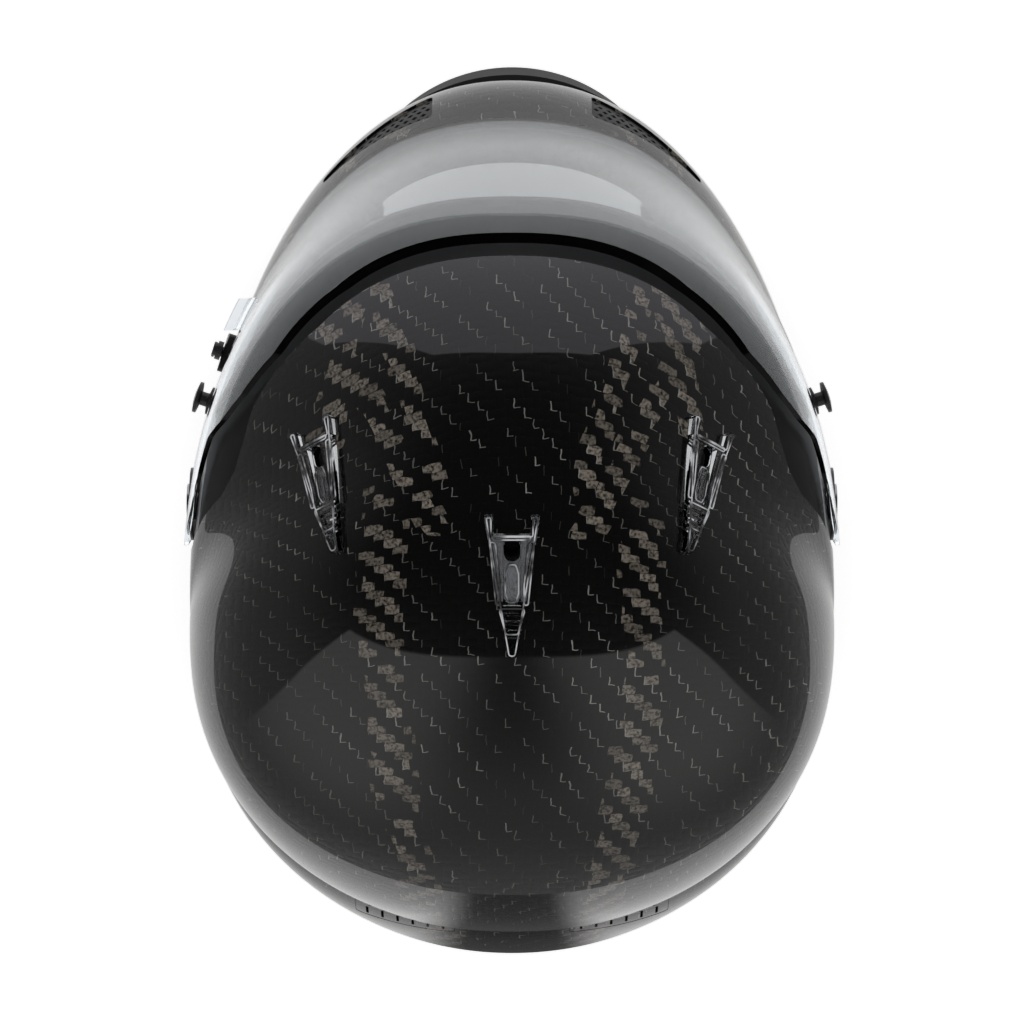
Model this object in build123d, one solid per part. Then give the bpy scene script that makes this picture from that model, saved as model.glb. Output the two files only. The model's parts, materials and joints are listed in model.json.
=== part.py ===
from build123d import *
import math
import os

# Full-face auto racing helmet. Millimetres, +Z up, front of the helmet toward -Y,
# the wearer's left toward +X, resting on its edge trim at Z = 0.

# Driving sizes of the outer shell
shell_length = 350.0
shell_height = 259.0
shell_half_width = 119.5
shell_wall = 3.0
side_centre_y = 40.3
side_centre_z = 144.6

# Visor and its hinge
hinge_y = -3.0
hinge_z = 147.6
forehead_radius = 110.4
visor_thickness = 3.0
visor_side_thickness = 1.5
visor_gap = 0.9
visor_side_gap = 1.1
visor_recess = 0.8
visor_corner = 6.0
hinge_pin_radius = 6.0
hinge_boss_radius = 13.0
hinge_face_x = 117.8
base_plate_depth = 1.2
base_plate_corner = 5.0
washer_radius = 13.5
washer_thickness = 0.9
screw_radius = 2.5
screw_head_radius = 7.5
screw_head_height = 1.3
screw_slot_width = 1.6
screw_depth = 3.0

# Eyeport and its rubber edge
eyeport_corner = 17.0
eyeport_edge = 2.8
gasket_lip = 0.4
gasket_depth = 5.0

# Tear-off posts, lift tab and latch on the visor
post_y = -41.0
post_z = 145.0
post_shank_radius = 2.0
post_waist_radius = 2.6
post_flange_radius = 5.2
post_head_radius = 5.8
post_length = 6.8
post_flange_height = 1.2
post_head_height = 1.8
tab_y = -75.0
tab_z = 107.5
tab_length = 12.0
tab_height = 9.0
tab_plate = 1.3
tab_reach = 4.4
latch_y = -60.0
latch_z = 97.0
latch_base_length = 15.0
latch_base_height = 14.0
latch_base_thickness = 3.9
latch_pin_radius = 2.0
latch_lever_length = 21.0
latch_lever_width = 7.0
latch_lever_thickness = 2.0
latch_knob_radius = 2.6
latch_knob_height = 1.5

# Top vents
vent_length = 50.0
vent_front_width = 19.6
vent_tail_width = 3.2
vent_arm_width = 3.2
vent_notch = 6.5
vent_height = 3.6
vent_floor = 0.9
slider_length = 14.5
slider_width = 5.6
slider_plate = 1.0
slider_knob_height = 0.9
slider_travel = 7.0
intake_length = 8.0
vent_rib_height = 0.6
middle_vent_y = 26.0
side_vent_x = 65.4
side_vent_y = -7.8
side_vent_turn = 11.0

# Chin bar openings, spoiler and rear exhausts
chin_vent_inner_x = 31.0
chin_vent_outer_x = 73.0
chin_vent_top_z = 74.5
chin_vent_inner_height = 20.0
chin_vent_outer_height = 6.0
chin_vent_corner = 2.0
grille_recess = 1.4
grille_thickness = 1.4
grille_pitch = 3.4
grille_bar = 0.9
spoiler_half_width = 54.0
spoiler_side_y = -149.0
spoiler_tip_y = -177.4
spoiler_bottom_z = 17.0
spoiler_top_z = 33.0
spoiler_top_setback = 4.5
spoiler_root = 20.0
exhaust_inner_x = 22.0
exhaust_outer_x = 60.0
exhaust_bottom_z = 84.0
exhaust_top_z = 97.0
exhaust_slat = 1.6
exhaust_pitch = 5.0

# Padding
padding_clearance = 0.4
liner_thickness = 24.0
liner_bottom_z = 34.0
chin_liner_thickness = 18.0
chin_liner_bottom_z = 22.0
crown_pad_thickness = 9.0
cheek_pad_thickness = 19.0
cheek_pad_corner = 12.0
neck_roll_thickness = 22.0
neck_roll_top_z = 30.0

# Chin strap
strap_y = -22.0
strap_width = 20.0
strap_thickness = 2.0
strap_anchor_z = 44.0
strap_low_z = 5.6
strap_end_x = 30.0
strap_bend = 9.0
ring_wire_radius = 1.8
ring_width = 26.0
ring_depth = 22.0
bolt_radius = 3.0
bolt_head_radius = 6.0
bolt_head_height = 1.6

# Tether inserts in the lower rear flanks
insert_y = 62.0
insert_z = 46.0
insert_flange_radius = 8.0
insert_flange_height = 1.4
insert_body_radius = 5.5
insert_bore_radius = 2.5
insert_length = 9.0

# Edge trim round the neck opening
trim_thickness = 1.6
trim_height = 8.0
rim_height = 1.6
rim_rise = 10.0
rim_radius = 120.0

# Fits
seat_clearance = 0.1
running_clearance = 0.06
moving_clearance = 0.3
overrun = 250.0

# Centre-line outline of the shell from under the chin over the crown to the
# trailing edge: shares of the length and height, with each point's roundness.
chin_shares = [
    (0.057, -0.232, 4.00),
    (-0.200, -0.190, 3.10),
    (-0.429, -0.080, 2.27),
    (-0.472, 0.030, 2.19),
    (-0.486, 0.160, 2.12),
    (-0.475, 0.224, 2.11),
    (-0.424, 0.340, 2.16),
    (-0.380, 0.490, 2.19),
    (-0.339, 0.629, 2.35),
]
forehead_turn_shares = [(30.6, 1.000, 2.40), (54.0, 0.995, 2.01), (75.0, 0.987, 1.78)]
crown_shares = [
    (0.034, 1.000, 1.93),
    (0.171, 0.958, 2.15),
    (0.303, 0.849, 2.41),
    (0.391, 0.695, 2.48),
    (0.436, 0.560, 2.28),
    (0.453, 0.448, 2.18),
]
# From the trailing edge down the rear and forward under the neck.
rear_shares = [
    (0.4375, 0.405, 2.24),
    (0.454, 0.352, 2.29),
    (0.482, 0.255, 2.23),
    (0.496, 0.162, 2.07),
    (0.489, 0.050, 2.02),
    (0.429, -0.080, 2.80),
    (0.257, -0.193, 3.50),
]
station_shares = [0.0, 0.2, 0.38, 0.54, 0.68, 0.79, 0.88, 0.94, 0.977, 0.997]

# Side-view outlines as shares of the length and height
eyeport_shares = [
    (-0.62, 0.680), (-0.300, 0.690), (-0.190, 0.722), (-0.105, 0.700),
    (-0.105, 0.480), (-0.190, 0.425), (-0.300, 0.380), (-0.62, 0.340),
]
visor_shares = [
    (-0.62, 0.803), (-0.300, 0.800), (-0.230, 0.806), (-0.163, 0.792), (-0.120, 0.760),
    (-0.095, 0.730), (-0.078, 0.697), (-0.040, 0.679), (-0.006, 0.660), (0.018, 0.634),
    (0.036, 0.590), (0.030, 0.545), (0.000, 0.508), (-0.040, 0.494), (-0.120, 0.470),
    (-0.240, 0.440), (-0.290, 0.411), (-0.350, 0.369), (-0.397, 0.344), (-0.62, 0.335),
]
recess_shares = [
    (-0.62, 0.828), (-0.260, 0.822), (-0.190, 0.812), (-0.138, 0.785), (-0.108, 0.772),
    (-0.072, 0.766), (-0.043, 0.754), (-0.018, 0.728), (0.006, 0.678), (0.036, 0.625),
    (0.050, 0.560), (0.030, 0.505), (-0.040, 0.470), (-0.120, 0.446), (-0.240, 0.416),
    (-0.290, 0.390), (-0.350, 0.350), (-0.400, 0.326), (-0.62, 0.318),
]
base_plate_shares = [
    (-0.076, 0.470), (-0.010, 0.488), (0.046, 0.545), (0.046, 0.590),
    (0.015, 0.652), (-0.045, 0.664), (-0.076, 0.640),
]
liner_front_shares = [
    (-0.62, 0.700), (-0.300, 0.712), (-0.190, 0.745), (-0.090, 0.715),
    (-0.090, -0.30), (-0.62, -0.30),
]
cheek_pad_shares = [
    (-0.230, 0.110), (0.070, 0.100), (0.105, 0.250), (0.080, 0.440),
    (-0.075, 0.440), (-0.225, 0.370),
]
rim_shares = [-0.60, -0.20, 0.28, 0.60]


def turn_point(degrees, radius):
    """A point at this angle above the horizontal, in front of the visor hinge."""
    angle = math.radians(degrees)
    return hinge_y - radius * math.cos(angle), hinge_z + radius * math.sin(angle)


def centre_line():
    """The closed outline from the trailing edge under the neck and over the crown."""
    front = [(y * shell_length, z * shell_height, n) for y, z, n in chin_shares]
    brow = [(*turn_point(a, r * forehead_radius), n) for a, r, n in forehead_turn_shares]
    crown = [(y * shell_length, z * shell_height, n) for y, z, n in crown_shares]
    rear = [(y * shell_length, z * shell_height, n) for y, z, n in rear_shares]
    return [crown[-1], *rear, *front, *brow, *crown]


def drawn_in(points, share, inset):
    """Moves outline points toward the side centre at this share of the half width."""
    placed = []
    for y, z, roundness in points:
        dy, dz = y - side_centre_y, z - side_centre_z
        reach = math.hypot(dy, dz)
        scale = (1 - share ** roundness) ** (1 / roundness) * (reach - inset) / reach
        placed.append((side_centre_y + dy * scale, side_centre_z + dz * scale))
    return placed


made_skins = {}


def skin(inset, side_inset=None):
    """The helmet's closed outer form, moved inward by these amounts."""
    side_inset = inset if side_inset is None else side_inset
    if (inset, side_inset) not in made_skins:
        outline = centre_line()
        half_width = shell_half_width - side_inset
        shares = [-s for s in reversed(station_shares[1:])] + station_shares
        wires = []
        for share in shares:
            x = share * half_width
            wires.append(Wire(Spline(*[(x, y, z) for y, z in drawn_in(outline, abs(share), inset)])))
        made_skins[inset, side_inset] = Solid.make_loft(wires)
    return made_skins[inset, side_inset]


def side_outline(shares):
    """Side-view points in real sizes from shares of the length and height."""
    return [(y * shell_length, z * shell_height) for y, z in shares]


def prism(points, across, start, end, corner=0.0, grow=0.0):
    """An outline extruded along the normal of the plane, between two offsets."""
    face = make_face(Polyline(*points, close=True))
    if corner:
        face = fillet(face.vertices(), corner)
    if grow:
        face = offset(face, grow, kind=Kind.INTERSECTION)
    return extrude(across.offset(start) * face, end - start)


def side_prism(shares, corner=0.0, grow=0.0, start=-overrun, end=overrun):
    return prism(side_outline(shares), Plane.YZ, start, end, corner, grow)


def block(x_range, y_range, z_range):
    """A box between these limits."""
    size = [high - low for low, high in (x_range, y_range, z_range)]
    centre = [(high + low) / 2 for low, high in (x_range, y_range, z_range)]
    return Pos(*centre) * Box(*size)


def below_rim(lift):
    """Everything under the neck opening's edge line, moved up by this lift."""
    front, flat_front, flat_rear, rear = [share * shell_length for share in rim_shares]
    low = rim_height + lift
    line = FilletPolyline(
        (0, front, low + rim_rise), (0, flat_front, low), (0, flat_rear, low),
        (0, rear, low + rim_rise), radius=rim_radius)
    under = Polyline((0, rear, low + rim_rise), (0, rear, -overrun), (0, front, -overrun),
                     (0, front, low + rim_rise))
    face = Face(Wire(line.edges() + under.edges()))
    return Pos(-overrun, 0, 0) * extrude(face, 2 * overrun, dir=(1, 0, 0))


def layer(blank, outer, inner):
    """The part of a blank that lies between two skins."""
    return (blank & outer) - inner


def largest(shape):
    return max(shape.solids(), key=lambda solid: solid.volume)


def surface_plane(form, axis, along):
    """A plane on the form where the axis leaves it, its X near the given way."""
    hits = form.find_intersection_points(axis)
    ahead = [h for h in hits if (h[0] - axis.position).dot(axis.direction) > 0]
    point, normal = max(ahead, key=lambda h: (h[0] - axis.position).dot(axis.direction))
    if normal.dot(axis.direction) < 0:
        normal = normal * -1
    way = Vector(*along)
    way = way - axis.direction * (way.dot(normal) / axis.direction.dot(normal))
    return Plane(origin=point, x_dir=way, z_dir=normal)


def flank_plane(form, side, y, z):
    return surface_plane(form, Axis((0, y, z), (side, 0, 0)), (0, 1, 0))


def crown_plane(form, x, y, along):
    return surface_plane(form, Axis((x, y, side_centre_z), (0, 0, 1)), along)


def vent_planes():
    """Where the three top vents sit: the middle one, then the wearer's left and right."""
    turn = math.radians(side_vent_turn)
    outer = skin(0)
    return {
        "middle": crown_plane(outer, 0, middle_vent_y, (0, 1, 0)),
        "left": crown_plane(outer, side_vent_x, side_vent_y, (-math.sin(turn), math.cos(turn), 0)),
        "right": crown_plane(outer, -side_vent_x, side_vent_y, (math.sin(turn), math.cos(turn), 0)),
    }


def vent_intake(plane, radius_grow=0.0):
    """The oval air way from a top vent's floor through shell and liner."""
    centre = -vent_length / 2 + vent_notch + intake_length / 2 + vent_arm_width / 2
    width = slider_width + 2 * radius_grow
    oval = SlotOverall(intake_length + 2 * radius_grow, width)
    depth = shell_wall + liner_thickness + vent_length
    return extrude(plane * Pos(centre, 0, vent_height) * oval, -depth)


def hinge_cylinder(side, radius, start, end):
    """A cylinder on the visor's hinge line between two distances from the middle."""
    face = Plane.YZ.offset(side * start) * Pos(hinge_y, hinge_z) * Circle(radius)
    return extrude(face, end - start, dir=(side, 0, 0))


def chin_window(side, shrink):
    """One long tapered opening of the chin bar, cut from the front."""
    top = chin_vent_top_z
    points = [
        (side * chin_vent_inner_x, top - chin_vent_inner_height),
        (side * chin_vent_outer_x, top - chin_vent_outer_height + chin_vent_corner),
        (side * chin_vent_outer_x, top + chin_vent_corner),
        (side * chin_vent_inner_x, top),
    ]
    return prism(points, Plane.XZ, shell_length / 5, shell_length, chin_vent_corner, -shrink)


def exhaust_window(side, shrink):
    """One exhaust opening under the trailing edge, cut from the rear."""
    points = [
        (side * exhaust_inner_x, exhaust_bottom_z), (side * exhaust_outer_x, exhaust_bottom_z),
        (side * exhaust_outer_x, exhaust_top_z), (side * exhaust_inner_x, exhaust_top_z),
    ]
    return prism(points, Plane.XZ, -shell_length, -shell_length / 5, chin_vent_corner, -shrink)


def visor_room():
    """The shallow step in the shell that the visor lies over."""
    return side_prism(recess_shares, visor_corner) - skin(visor_recess)


def base_plate_room(grow=0.0):
    """The chevron plates' space on both flanks, down to their seats."""
    room = side_prism(base_plate_shares, base_plate_corner, grow)
    return room - skin(visor_recess + base_plate_depth)


def make_shell():
    outer, inner = skin(0), skin(shell_wall)
    shell = outer - inner - below_rim(0)
    shell -= side_prism(eyeport_shares, eyeport_corner)
    shell -= visor_room()
    shell -= base_plate_room(seat_clearance)
    for plane in vent_planes().values():
        shell -= vent_intake(plane)
    for side in (1, -1):
        shell -= chin_window(side, 0)
        shell -= exhaust_window(side, 0)
        seat = flank_plane(outer, side, insert_y, insert_z)
        shell -= seat * Cylinder(insert_body_radius + running_clearance, 2 * insert_length)
        anchor = flank_plane(outer, side, strap_y, strap_anchor_z)
        shell -= anchor * Cylinder(bolt_radius + running_clearance, 2 * insert_length)
    return largest(shell)


def make_edge_trim():
    """The rubber channel that wraps the neck opening's edge."""
    band = below_rim(trim_height - rim_height) - below_rim(-rim_height)
    band = layer(band, skin(-trim_thickness), skin(shell_wall + trim_thickness))
    room = below_rim(trim_height) - below_rim(-seat_clearance)
    wall = layer(room, skin(-seat_clearance), skin(shell_wall + seat_clearance))
    return largest(band - wall)


def make_gasket():
    """The rubber edge that lines the eyeport."""
    ring = side_prism(eyeport_shares, eyeport_corner, -seat_clearance)
    ring -= side_prism(eyeport_shares, eyeport_corner, -eyeport_edge)
    return largest(layer(ring, skin(-gasket_lip), skin(gasket_depth)))


def make_visor():
    """The clear shield with its hinge bosses."""
    outer, inner = visor_outer(), skin(-visor_gap, -visor_side_gap)
    visor = layer(side_prism(visor_shares, visor_corner), outer, inner)
    for side in (1, -1):
        boss = hinge_cylinder(side, hinge_boss_radius, shell_half_width / 2, hinge_face_x)
        boss -= skin(0)
        visor += boss
        face_room = washer_radius + moving_clearance
        visor -= hinge_cylinder(side, face_room, hinge_face_x, overrun)
        visor -= hinge_cylinder(side, hinge_pin_radius + running_clearance, 0, overrun)
        post = post_plane(side)
        visor -= post * Cylinder(post_shank_radius + running_clearance, post_length)
    return largest(visor)


def visor_outer(lift=0.0):
    """The visor's outer form, raised by this lift."""
    return skin(-visor_gap - visor_thickness - lift, -visor_side_gap - visor_side_thickness - lift)


def post_plane(side):
    return flank_plane(visor_outer(), side, post_y, post_z)


def make_post(side):
    """A tear-off post: flange, waist and head, with its shank flush inside."""
    flange_top = seat_clearance + post_flange_height
    head_bottom = post_length - post_head_height
    profile = Polyline(
        (0, -visor_side_thickness), (post_shank_radius, -visor_side_thickness),
        (post_shank_radius, seat_clearance), (post_flange_radius, seat_clearance),
        (post_flange_radius, flange_top), (post_waist_radius, flange_top + post_flange_height / 2),
        (post_waist_radius, head_bottom - post_flange_height / 2), (post_head_radius, head_bottom),
        (post_head_radius, post_length - post_flange_height / 2),
        (post_waist_radius, post_length), (0, post_length), close=True)
    body = revolve(make_face(Plane.XZ * profile), Axis.Z)
    return largest(post_plane(side) * body)


def make_lift_tab():
    """The clear tab at the visor's lower left edge."""
    under, plate, lip = visor_outer(seat_clearance), visor_outer(tab_plate), visor_outer(tab_reach)
    y_range = (tab_y - tab_length / 2, tab_y + tab_length / 2)
    x_range = (shell_half_width / 2, overrun)
    body = layer(block(x_range, y_range, (tab_z, tab_z + tab_height)), plate, under)
    body += layer(block(x_range, y_range, (tab_z, tab_z + tab_plate)), lip, under)
    return largest(body)


def latch_plane():
    return flank_plane(skin(0), 1, latch_y, latch_z)


def make_latch_base():
    """The latch's seat on the shell, with the lever's pin."""
    plane = latch_plane()
    size = (latch_base_length, latch_base_height)
    blank = extrude(plane * fillet(Rectangle(*size).vertices(), latch_pin_radius), overrun / 10)
    blank += extrude(plane * fillet(Rectangle(*size).vertices(), latch_pin_radius), -overrun / 10)
    base = layer(blank, skin(-latch_base_thickness), skin(-seat_clearance))
    top = latch_base_thickness + latch_lever_thickness + 2 * moving_clearance
    base += extrude(plane * Pos(0, 0, latch_base_thickness / 2) * Circle(latch_pin_radius),
                    top - latch_base_thickness / 2)
    cap = Circle(latch_pin_radius + latch_pin_radius / 2)
    base += extrude(plane * Pos(0, 0, top) * cap, latch_pin_radius / 2)
    return largest(base)


def make_latch_lever():
    """The lever that swings over the visor's lower edge, with its knob."""
    plane = latch_plane()
    start = latch_base_thickness + moving_clearance
    reach = latch_lever_length
    bar = Pos(0, 0, start) * (
        Pos(reach / 2 - latch_lever_width / 2, 0) * SlotOverall(reach, latch_lever_width))
    lever = extrude(bar, latch_lever_thickness)
    knob_at = Pos(reach - latch_lever_width, 0, start)
    lever += knob_at * extrude(Circle(latch_knob_radius), latch_lever_thickness + latch_knob_height)
    lever -= Cylinder(latch_pin_radius + running_clearance, overrun / 10)
    turned = plane * Rot(0, 0, 90) * lever
    return largest(turned)


def make_base_plate(side):
    """The black chevron plate under the visor's arm, with its hinge pin."""
    limits = sorted((side * shell_half_width / 2, side * overrun))
    blank = side_prism(base_plate_shares, base_plate_corner, 0.0, *limits)
    seat = skin(visor_recess + base_plate_depth - seat_clearance)
    plate = layer(blank, skin(visor_recess), seat)
    pin = hinge_cylinder(side, hinge_pin_radius, shell_half_width / 2,
                         hinge_face_x + moving_clearance)
    plate += pin - seat
    screw_start = hinge_face_x + moving_clearance - screw_depth
    plate -= hinge_cylinder(side, screw_radius + running_clearance, screw_start, overrun)
    return largest(plate)


def make_washer(side):
    start = hinge_face_x + moving_clearance
    washer = hinge_cylinder(side, washer_radius, start, start + washer_thickness)
    washer -= hinge_cylinder(side, screw_radius + running_clearance, 0, overrun)
    return largest(washer)


def make_hinge_screw(side):
    """A slotted cover screw that holds the visor's arm."""
    start = hinge_face_x + moving_clearance + washer_thickness
    screw = hinge_cylinder(side, screw_head_radius, start, start + screw_head_height)
    screw += hinge_cylinder(side, screw_radius, start - screw_depth, start)
    end = start + screw_head_height
    x_range = sorted((side * (end - screw_head_height / 2), side * overrun))
    y_range = (hinge_y - screw_head_radius, hinge_y + screw_head_radius)
    z_range = (hinge_z - screw_slot_width / 2, hinge_z + screw_slot_width / 2)
    return largest(screw - block(x_range, y_range, z_range))


def make_vent_frame(plane):
    """The clear arrow-shaped frame of one top vent, on the shell's surface."""
    front, tail = vent_front_width / 2, vent_tail_width / 2
    start, end = -vent_length / 2, vent_length / 2
    arm = front - vent_arm_width
    points = [
        (start, front), (start, arm), (start + vent_notch, arm), (start + vent_notch, -arm),
        (start, -arm), (start, -front), (end, -tail), (end, tail),
    ]
    outline = make_face(Polyline(*points, close=True))
    outline = fillet(outline.vertices(), vent_tail_width / 5)
    blank = extrude(plane * Pos(0, 0, -vent_length / 4) * outline, vent_length / 2)
    frame = layer(blank, skin(-vent_height), skin(-seat_clearance))
    room = slider_room()
    frame -= plane * room
    frame -= vent_intake(plane)
    step = (end - slider_rear() - 2 * vent_arm_width) / 4
    for k in range(3):
        rib_at = slider_rear() + vent_arm_width + step * (k + 0.5)
        groove = Box(step / 2, vent_front_width, vent_length)
        lift = vent_height - vent_rib_height + vent_length / 2 - rib_drop(rib_at)
        frame -= plane * Pos(rib_at, 0, lift) * groove
    return largest(frame)


def rib_drop(along):
    """How far the shell falls away from a vent's plane at this distance."""
    return along ** 2 / (2 * forehead_radius)


def slider_rear():
    return slider_front() + slider_length


def slider_front():
    return -vent_length / 2 + vent_notch + vent_arm_width / 2 + intake_length + moving_clearance


def slider_room():
    """The pocket that a vent's slider runs in, open at the top."""
    start = slider_front() - slider_travel - 2 * moving_clearance
    end = slider_rear() + moving_clearance
    width = slider_width + 2 * moving_clearance
    return Pos((start + end) / 2, 0, vent_floor + vent_length / 2) * Box(end - start, width, vent_length)


def make_vent_slider(plane):
    """The slider that closes a vent's intake, with its finger ridge."""
    centre = slider_front() + slider_length / 2
    low = vent_floor + moving_clearance
    plate = Pos(centre, 0, low) * SlotOverall(slider_length, slider_width)
    slider = extrude(plate, slider_plate)
    ridge = SlotOverall(slider_length - slider_width / 2, slider_width / 2)
    slider += extrude(Pos(centre, 0, low) * ridge, slider_plate + slider_knob_height)
    return largest(plane * slider)


def make_chin_grille(side):
    """The mesh set back in one chin opening."""
    grille = layer(chin_window(side, seat_clearance), skin(grille_recess),
                   skin(grille_recess + grille_thickness))
    columns = int((chin_vent_outer_x - chin_vent_inner_x) / grille_pitch)
    rows = int(chin_vent_inner_height / grille_pitch)
    cell = (grille_pitch - grille_bar) / math.sqrt(2)
    holes = []
    for i in range(columns):
        for j in range(rows):
            x = chin_vent_inner_x + grille_pitch * (i + 0.5 + (j % 2) / 2)
            z = chin_vent_top_z - grille_pitch * (j + 0.5)
            share = (x - chin_vent_inner_x) / (chin_vent_outer_x - chin_vent_inner_x)
            height = chin_vent_inner_height + share * (chin_vent_outer_height - chin_vent_inner_height)
            if chin_vent_top_z - z < height - grille_pitch and x < chin_vent_outer_x - grille_pitch:
                holes.append(Pos(side * x, z) * Rot(0, 0, 45) * Rectangle(cell, cell))
    cuts = extrude(Plane.XZ.offset(shell_length / 5) * Sketch(children=holes), shell_length)
    return largest(grille - cuts)


def make_spoiler():
    """The lip under the chin bar: a tapered crescent seated on the shell."""
    wires = []
    for z, setback in ((spoiler_bottom_z, 0.0), (spoiler_top_z, spoiler_top_setback)):
        left = (spoiler_half_width, spoiler_side_y, z)
        right = (-spoiler_half_width, spoiler_side_y, z)
        arc = ThreePointArc(left, (0, spoiler_tip_y + setback, z), right)
        back = Polyline(right, (-spoiler_half_width, spoiler_side_y + spoiler_root, z),
                        (spoiler_half_width, spoiler_side_y + spoiler_root, z), left)
        wires.append(Wire(arc.edges() + back.edges()))
    return largest(Solid.make_loft(wires, True) - skin(-seat_clearance))


def make_exhaust_grille(side):
    """The slatted insert of one rear exhaust."""
    grille = layer(exhaust_window(side, seat_clearance), skin(grille_recess),
                   skin(grille_recess + grille_thickness))
    slots = int((exhaust_outer_x - exhaust_inner_x - exhaust_slat) / exhaust_pitch)
    for k in range(slots):
        low = exhaust_inner_x + exhaust_slat + exhaust_pitch * k
        high = low + exhaust_pitch - exhaust_slat
        x_range = sorted((side * low, side * high))
        z_range = (exhaust_bottom_z + exhaust_slat, exhaust_top_z - exhaust_slat)
        grille -= block(x_range, (0, overrun), z_range)
    return largest(grille)


def strap_pocket():
    """Room between shell and pads where the strap hangs."""
    half = strap_width / 2 + moving_clearance
    top = strap_anchor_z + bolt_head_radius + 2 * strap_thickness
    room = block((-overrun, overrun), (strap_y - half, strap_y + half), (-overrun, top))
    return room - skin(shell_wall + 3 * strap_thickness)


def make_liner():
    """The crushable liner behind and above the eyeport."""
    depth = shell_wall + padding_clearance
    liner = skin(depth) - skin(depth + liner_thickness)
    liner -= side_prism(liner_front_shares, eyeport_edge)
    liner -= block((-overrun, overrun), (-overrun, overrun), (-overrun, liner_bottom_z))
    liner -= strap_pocket()
    for plane in vent_planes().values():
        liner -= vent_intake(plane)
    for side in (1, -1):
        seat = flank_plane(skin(0), side, insert_y, insert_z)
        liner -= seat * Cylinder(insert_body_radius + padding_clearance, 3 * insert_length)
    return largest(liner)


def make_chin_liner():
    depth = shell_wall + padding_clearance
    front = liner_front_shares[-1][0] * shell_length
    top = eyeport_shares[-1][1] * shell_height
    room = block((-overrun, overrun), (front, cheek_pad_shares[0][0] * shell_length),
                 (chin_liner_bottom_z, top))
    return largest(layer(room, skin(depth), skin(depth + chin_liner_thickness)))


def pad_depth():
    return shell_wall + 2 * padding_clearance + liner_thickness


def make_crown_pad():
    """The cushion over the crown, stepped back from the brow."""
    pad = skin(pad_depth()) - skin(pad_depth() + crown_pad_thickness)
    pad -= side_prism(liner_front_shares, eyeport_edge, eyeport_edge)
    pad -= block((-overrun, overrun), (-overrun, overrun),
                 (-overrun, side_centre_z + crown_pad_thickness))
    return largest(pad)


def make_cheek_pad(side):
    limits = (0, overrun) if side > 0 else (-overrun, 0)
    room = side_prism(cheek_pad_shares, cheek_pad_corner, 0.0, *limits)
    pad = layer(room, skin(pad_depth()), skin(pad_depth() + cheek_pad_thickness))
    return largest(pad - strap_pocket())


def make_neck_roll():
    """The cushion round the back of the neck opening."""
    depth = shell_wall + trim_thickness + 2 * padding_clearance
    rear = block((-overrun, overrun), (strap_y + strap_width, overrun),
                 (-overrun, neck_roll_top_z))
    roll = layer(rear - below_rim(padding_clearance), skin(depth),
                 skin(depth + neck_roll_thickness))
    for side in (1, -1):
        seat = flank_plane(skin(0), side, insert_y, insert_z)
        roll -= seat * Cylinder(insert_flange_radius, 3 * insert_length)
    return largest(roll)


def strap_side_x():
    """Where the strap lies against the inside of the shell at its anchor."""
    plane = flank_plane(skin(shell_wall), 1, strap_y, strap_anchor_z)
    return plane.origin.X


def make_strap(side):
    """One webbing strap from its anchor down into the neck opening."""
    x = strap_side_x() - strap_thickness / 2 - seat_clearance
    lowest = strap_low_z + ring_pitch() / 2
    foot = strap_anchor_z / 2
    points = [
        (x, strap_anchor_z + bolt_head_radius), (x - strap_thickness * 2, foot),
        (x - strap_thickness * 2 - foot / 2, lowest + strap_thickness),
        (strap_end_x, lowest),
    ]
    path = FilletPolyline(*points, radius=strap_bend)
    band = trace(path, strap_thickness)
    strap = extrude(Plane.XZ.offset(-strap_y - strap_width / 2) * band, strap_width)
    if side > 0:
        strap += ring_loop(ring_wire_radius + moving_clearance + strap_thickness)
        strap -= ring_loop(ring_wire_radius + moving_clearance)
    anchor = flank_plane(skin(0), 1, strap_y, strap_anchor_z)
    strap -= anchor * Cylinder(bolt_radius + running_clearance, 2 * insert_length)
    strap &= skin(shell_wall + seat_clearance)
    strap = largest(strap)
    return strap if side > 0 else mirror(strap, Plane.YZ)


def ring_pitch():
    """How far apart the two rings lie."""
    return 2 * ring_wire_radius + moving_clearance


def ring_bar_x():
    return strap_end_x - ring_wire_radius - moving_clearance - strap_thickness / 2


def ring_loop(radius):
    """The upright loop at the left strap's end, round both rings' bars."""
    oval = Rot(0, 0, 90) * SlotOverall(2 * radius + ring_pitch(), 2 * radius)
    at = Pos(ring_bar_x(), strap_low_z + ring_pitch() / 2)
    return extrude(Plane.XZ.offset(-strap_y - strap_width / 2) * at * oval, strap_width)


def make_ring(level):
    """One D-shaped ring of the chin strap, its bar in the strap's loop."""
    x, z = ring_bar_x(), strap_low_z + level * ring_pitch()
    radius = ring_width / 2
    straight = ring_depth - radius
    ring = Pos(x, strap_y, z) * Rot(90, 0, 0) * Cylinder(ring_wire_radius, ring_width)
    bow = Torus(radius, ring_wire_radius, major_angle=180)
    ring += Pos(x - straight, strap_y, z) * Rot(0, 0, 90) * bow
    for end in (1, -1):
        y = strap_y + end * radius
        leg = Rot(0, 90, 0) * Cylinder(ring_wire_radius, straight)
        ring += Pos(x - straight / 2, y, z) * leg
        ring += Pos(x, y, z) * Sphere(ring_wire_radius)
    return largest(ring)


def make_strap_bolts():
    """The two anchor bolts through the shell's sides."""
    bolts = []
    for side in (1, -1):
        plane = flank_plane(skin(0), side, strap_y, strap_anchor_z)
        head = plane * Pos(0, 0, bolt_head_height / 2 + seat_clearance) * Cylinder(
            bolt_head_radius, bolt_head_height)
        length = shell_wall + 2 * strap_thickness
        shank = plane * Pos(0, 0, seat_clearance - length / 2) * Cylinder(bolt_radius, length)
        bolts.append((head + shank).solids()[0])
    return Compound(children=bolts)


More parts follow.
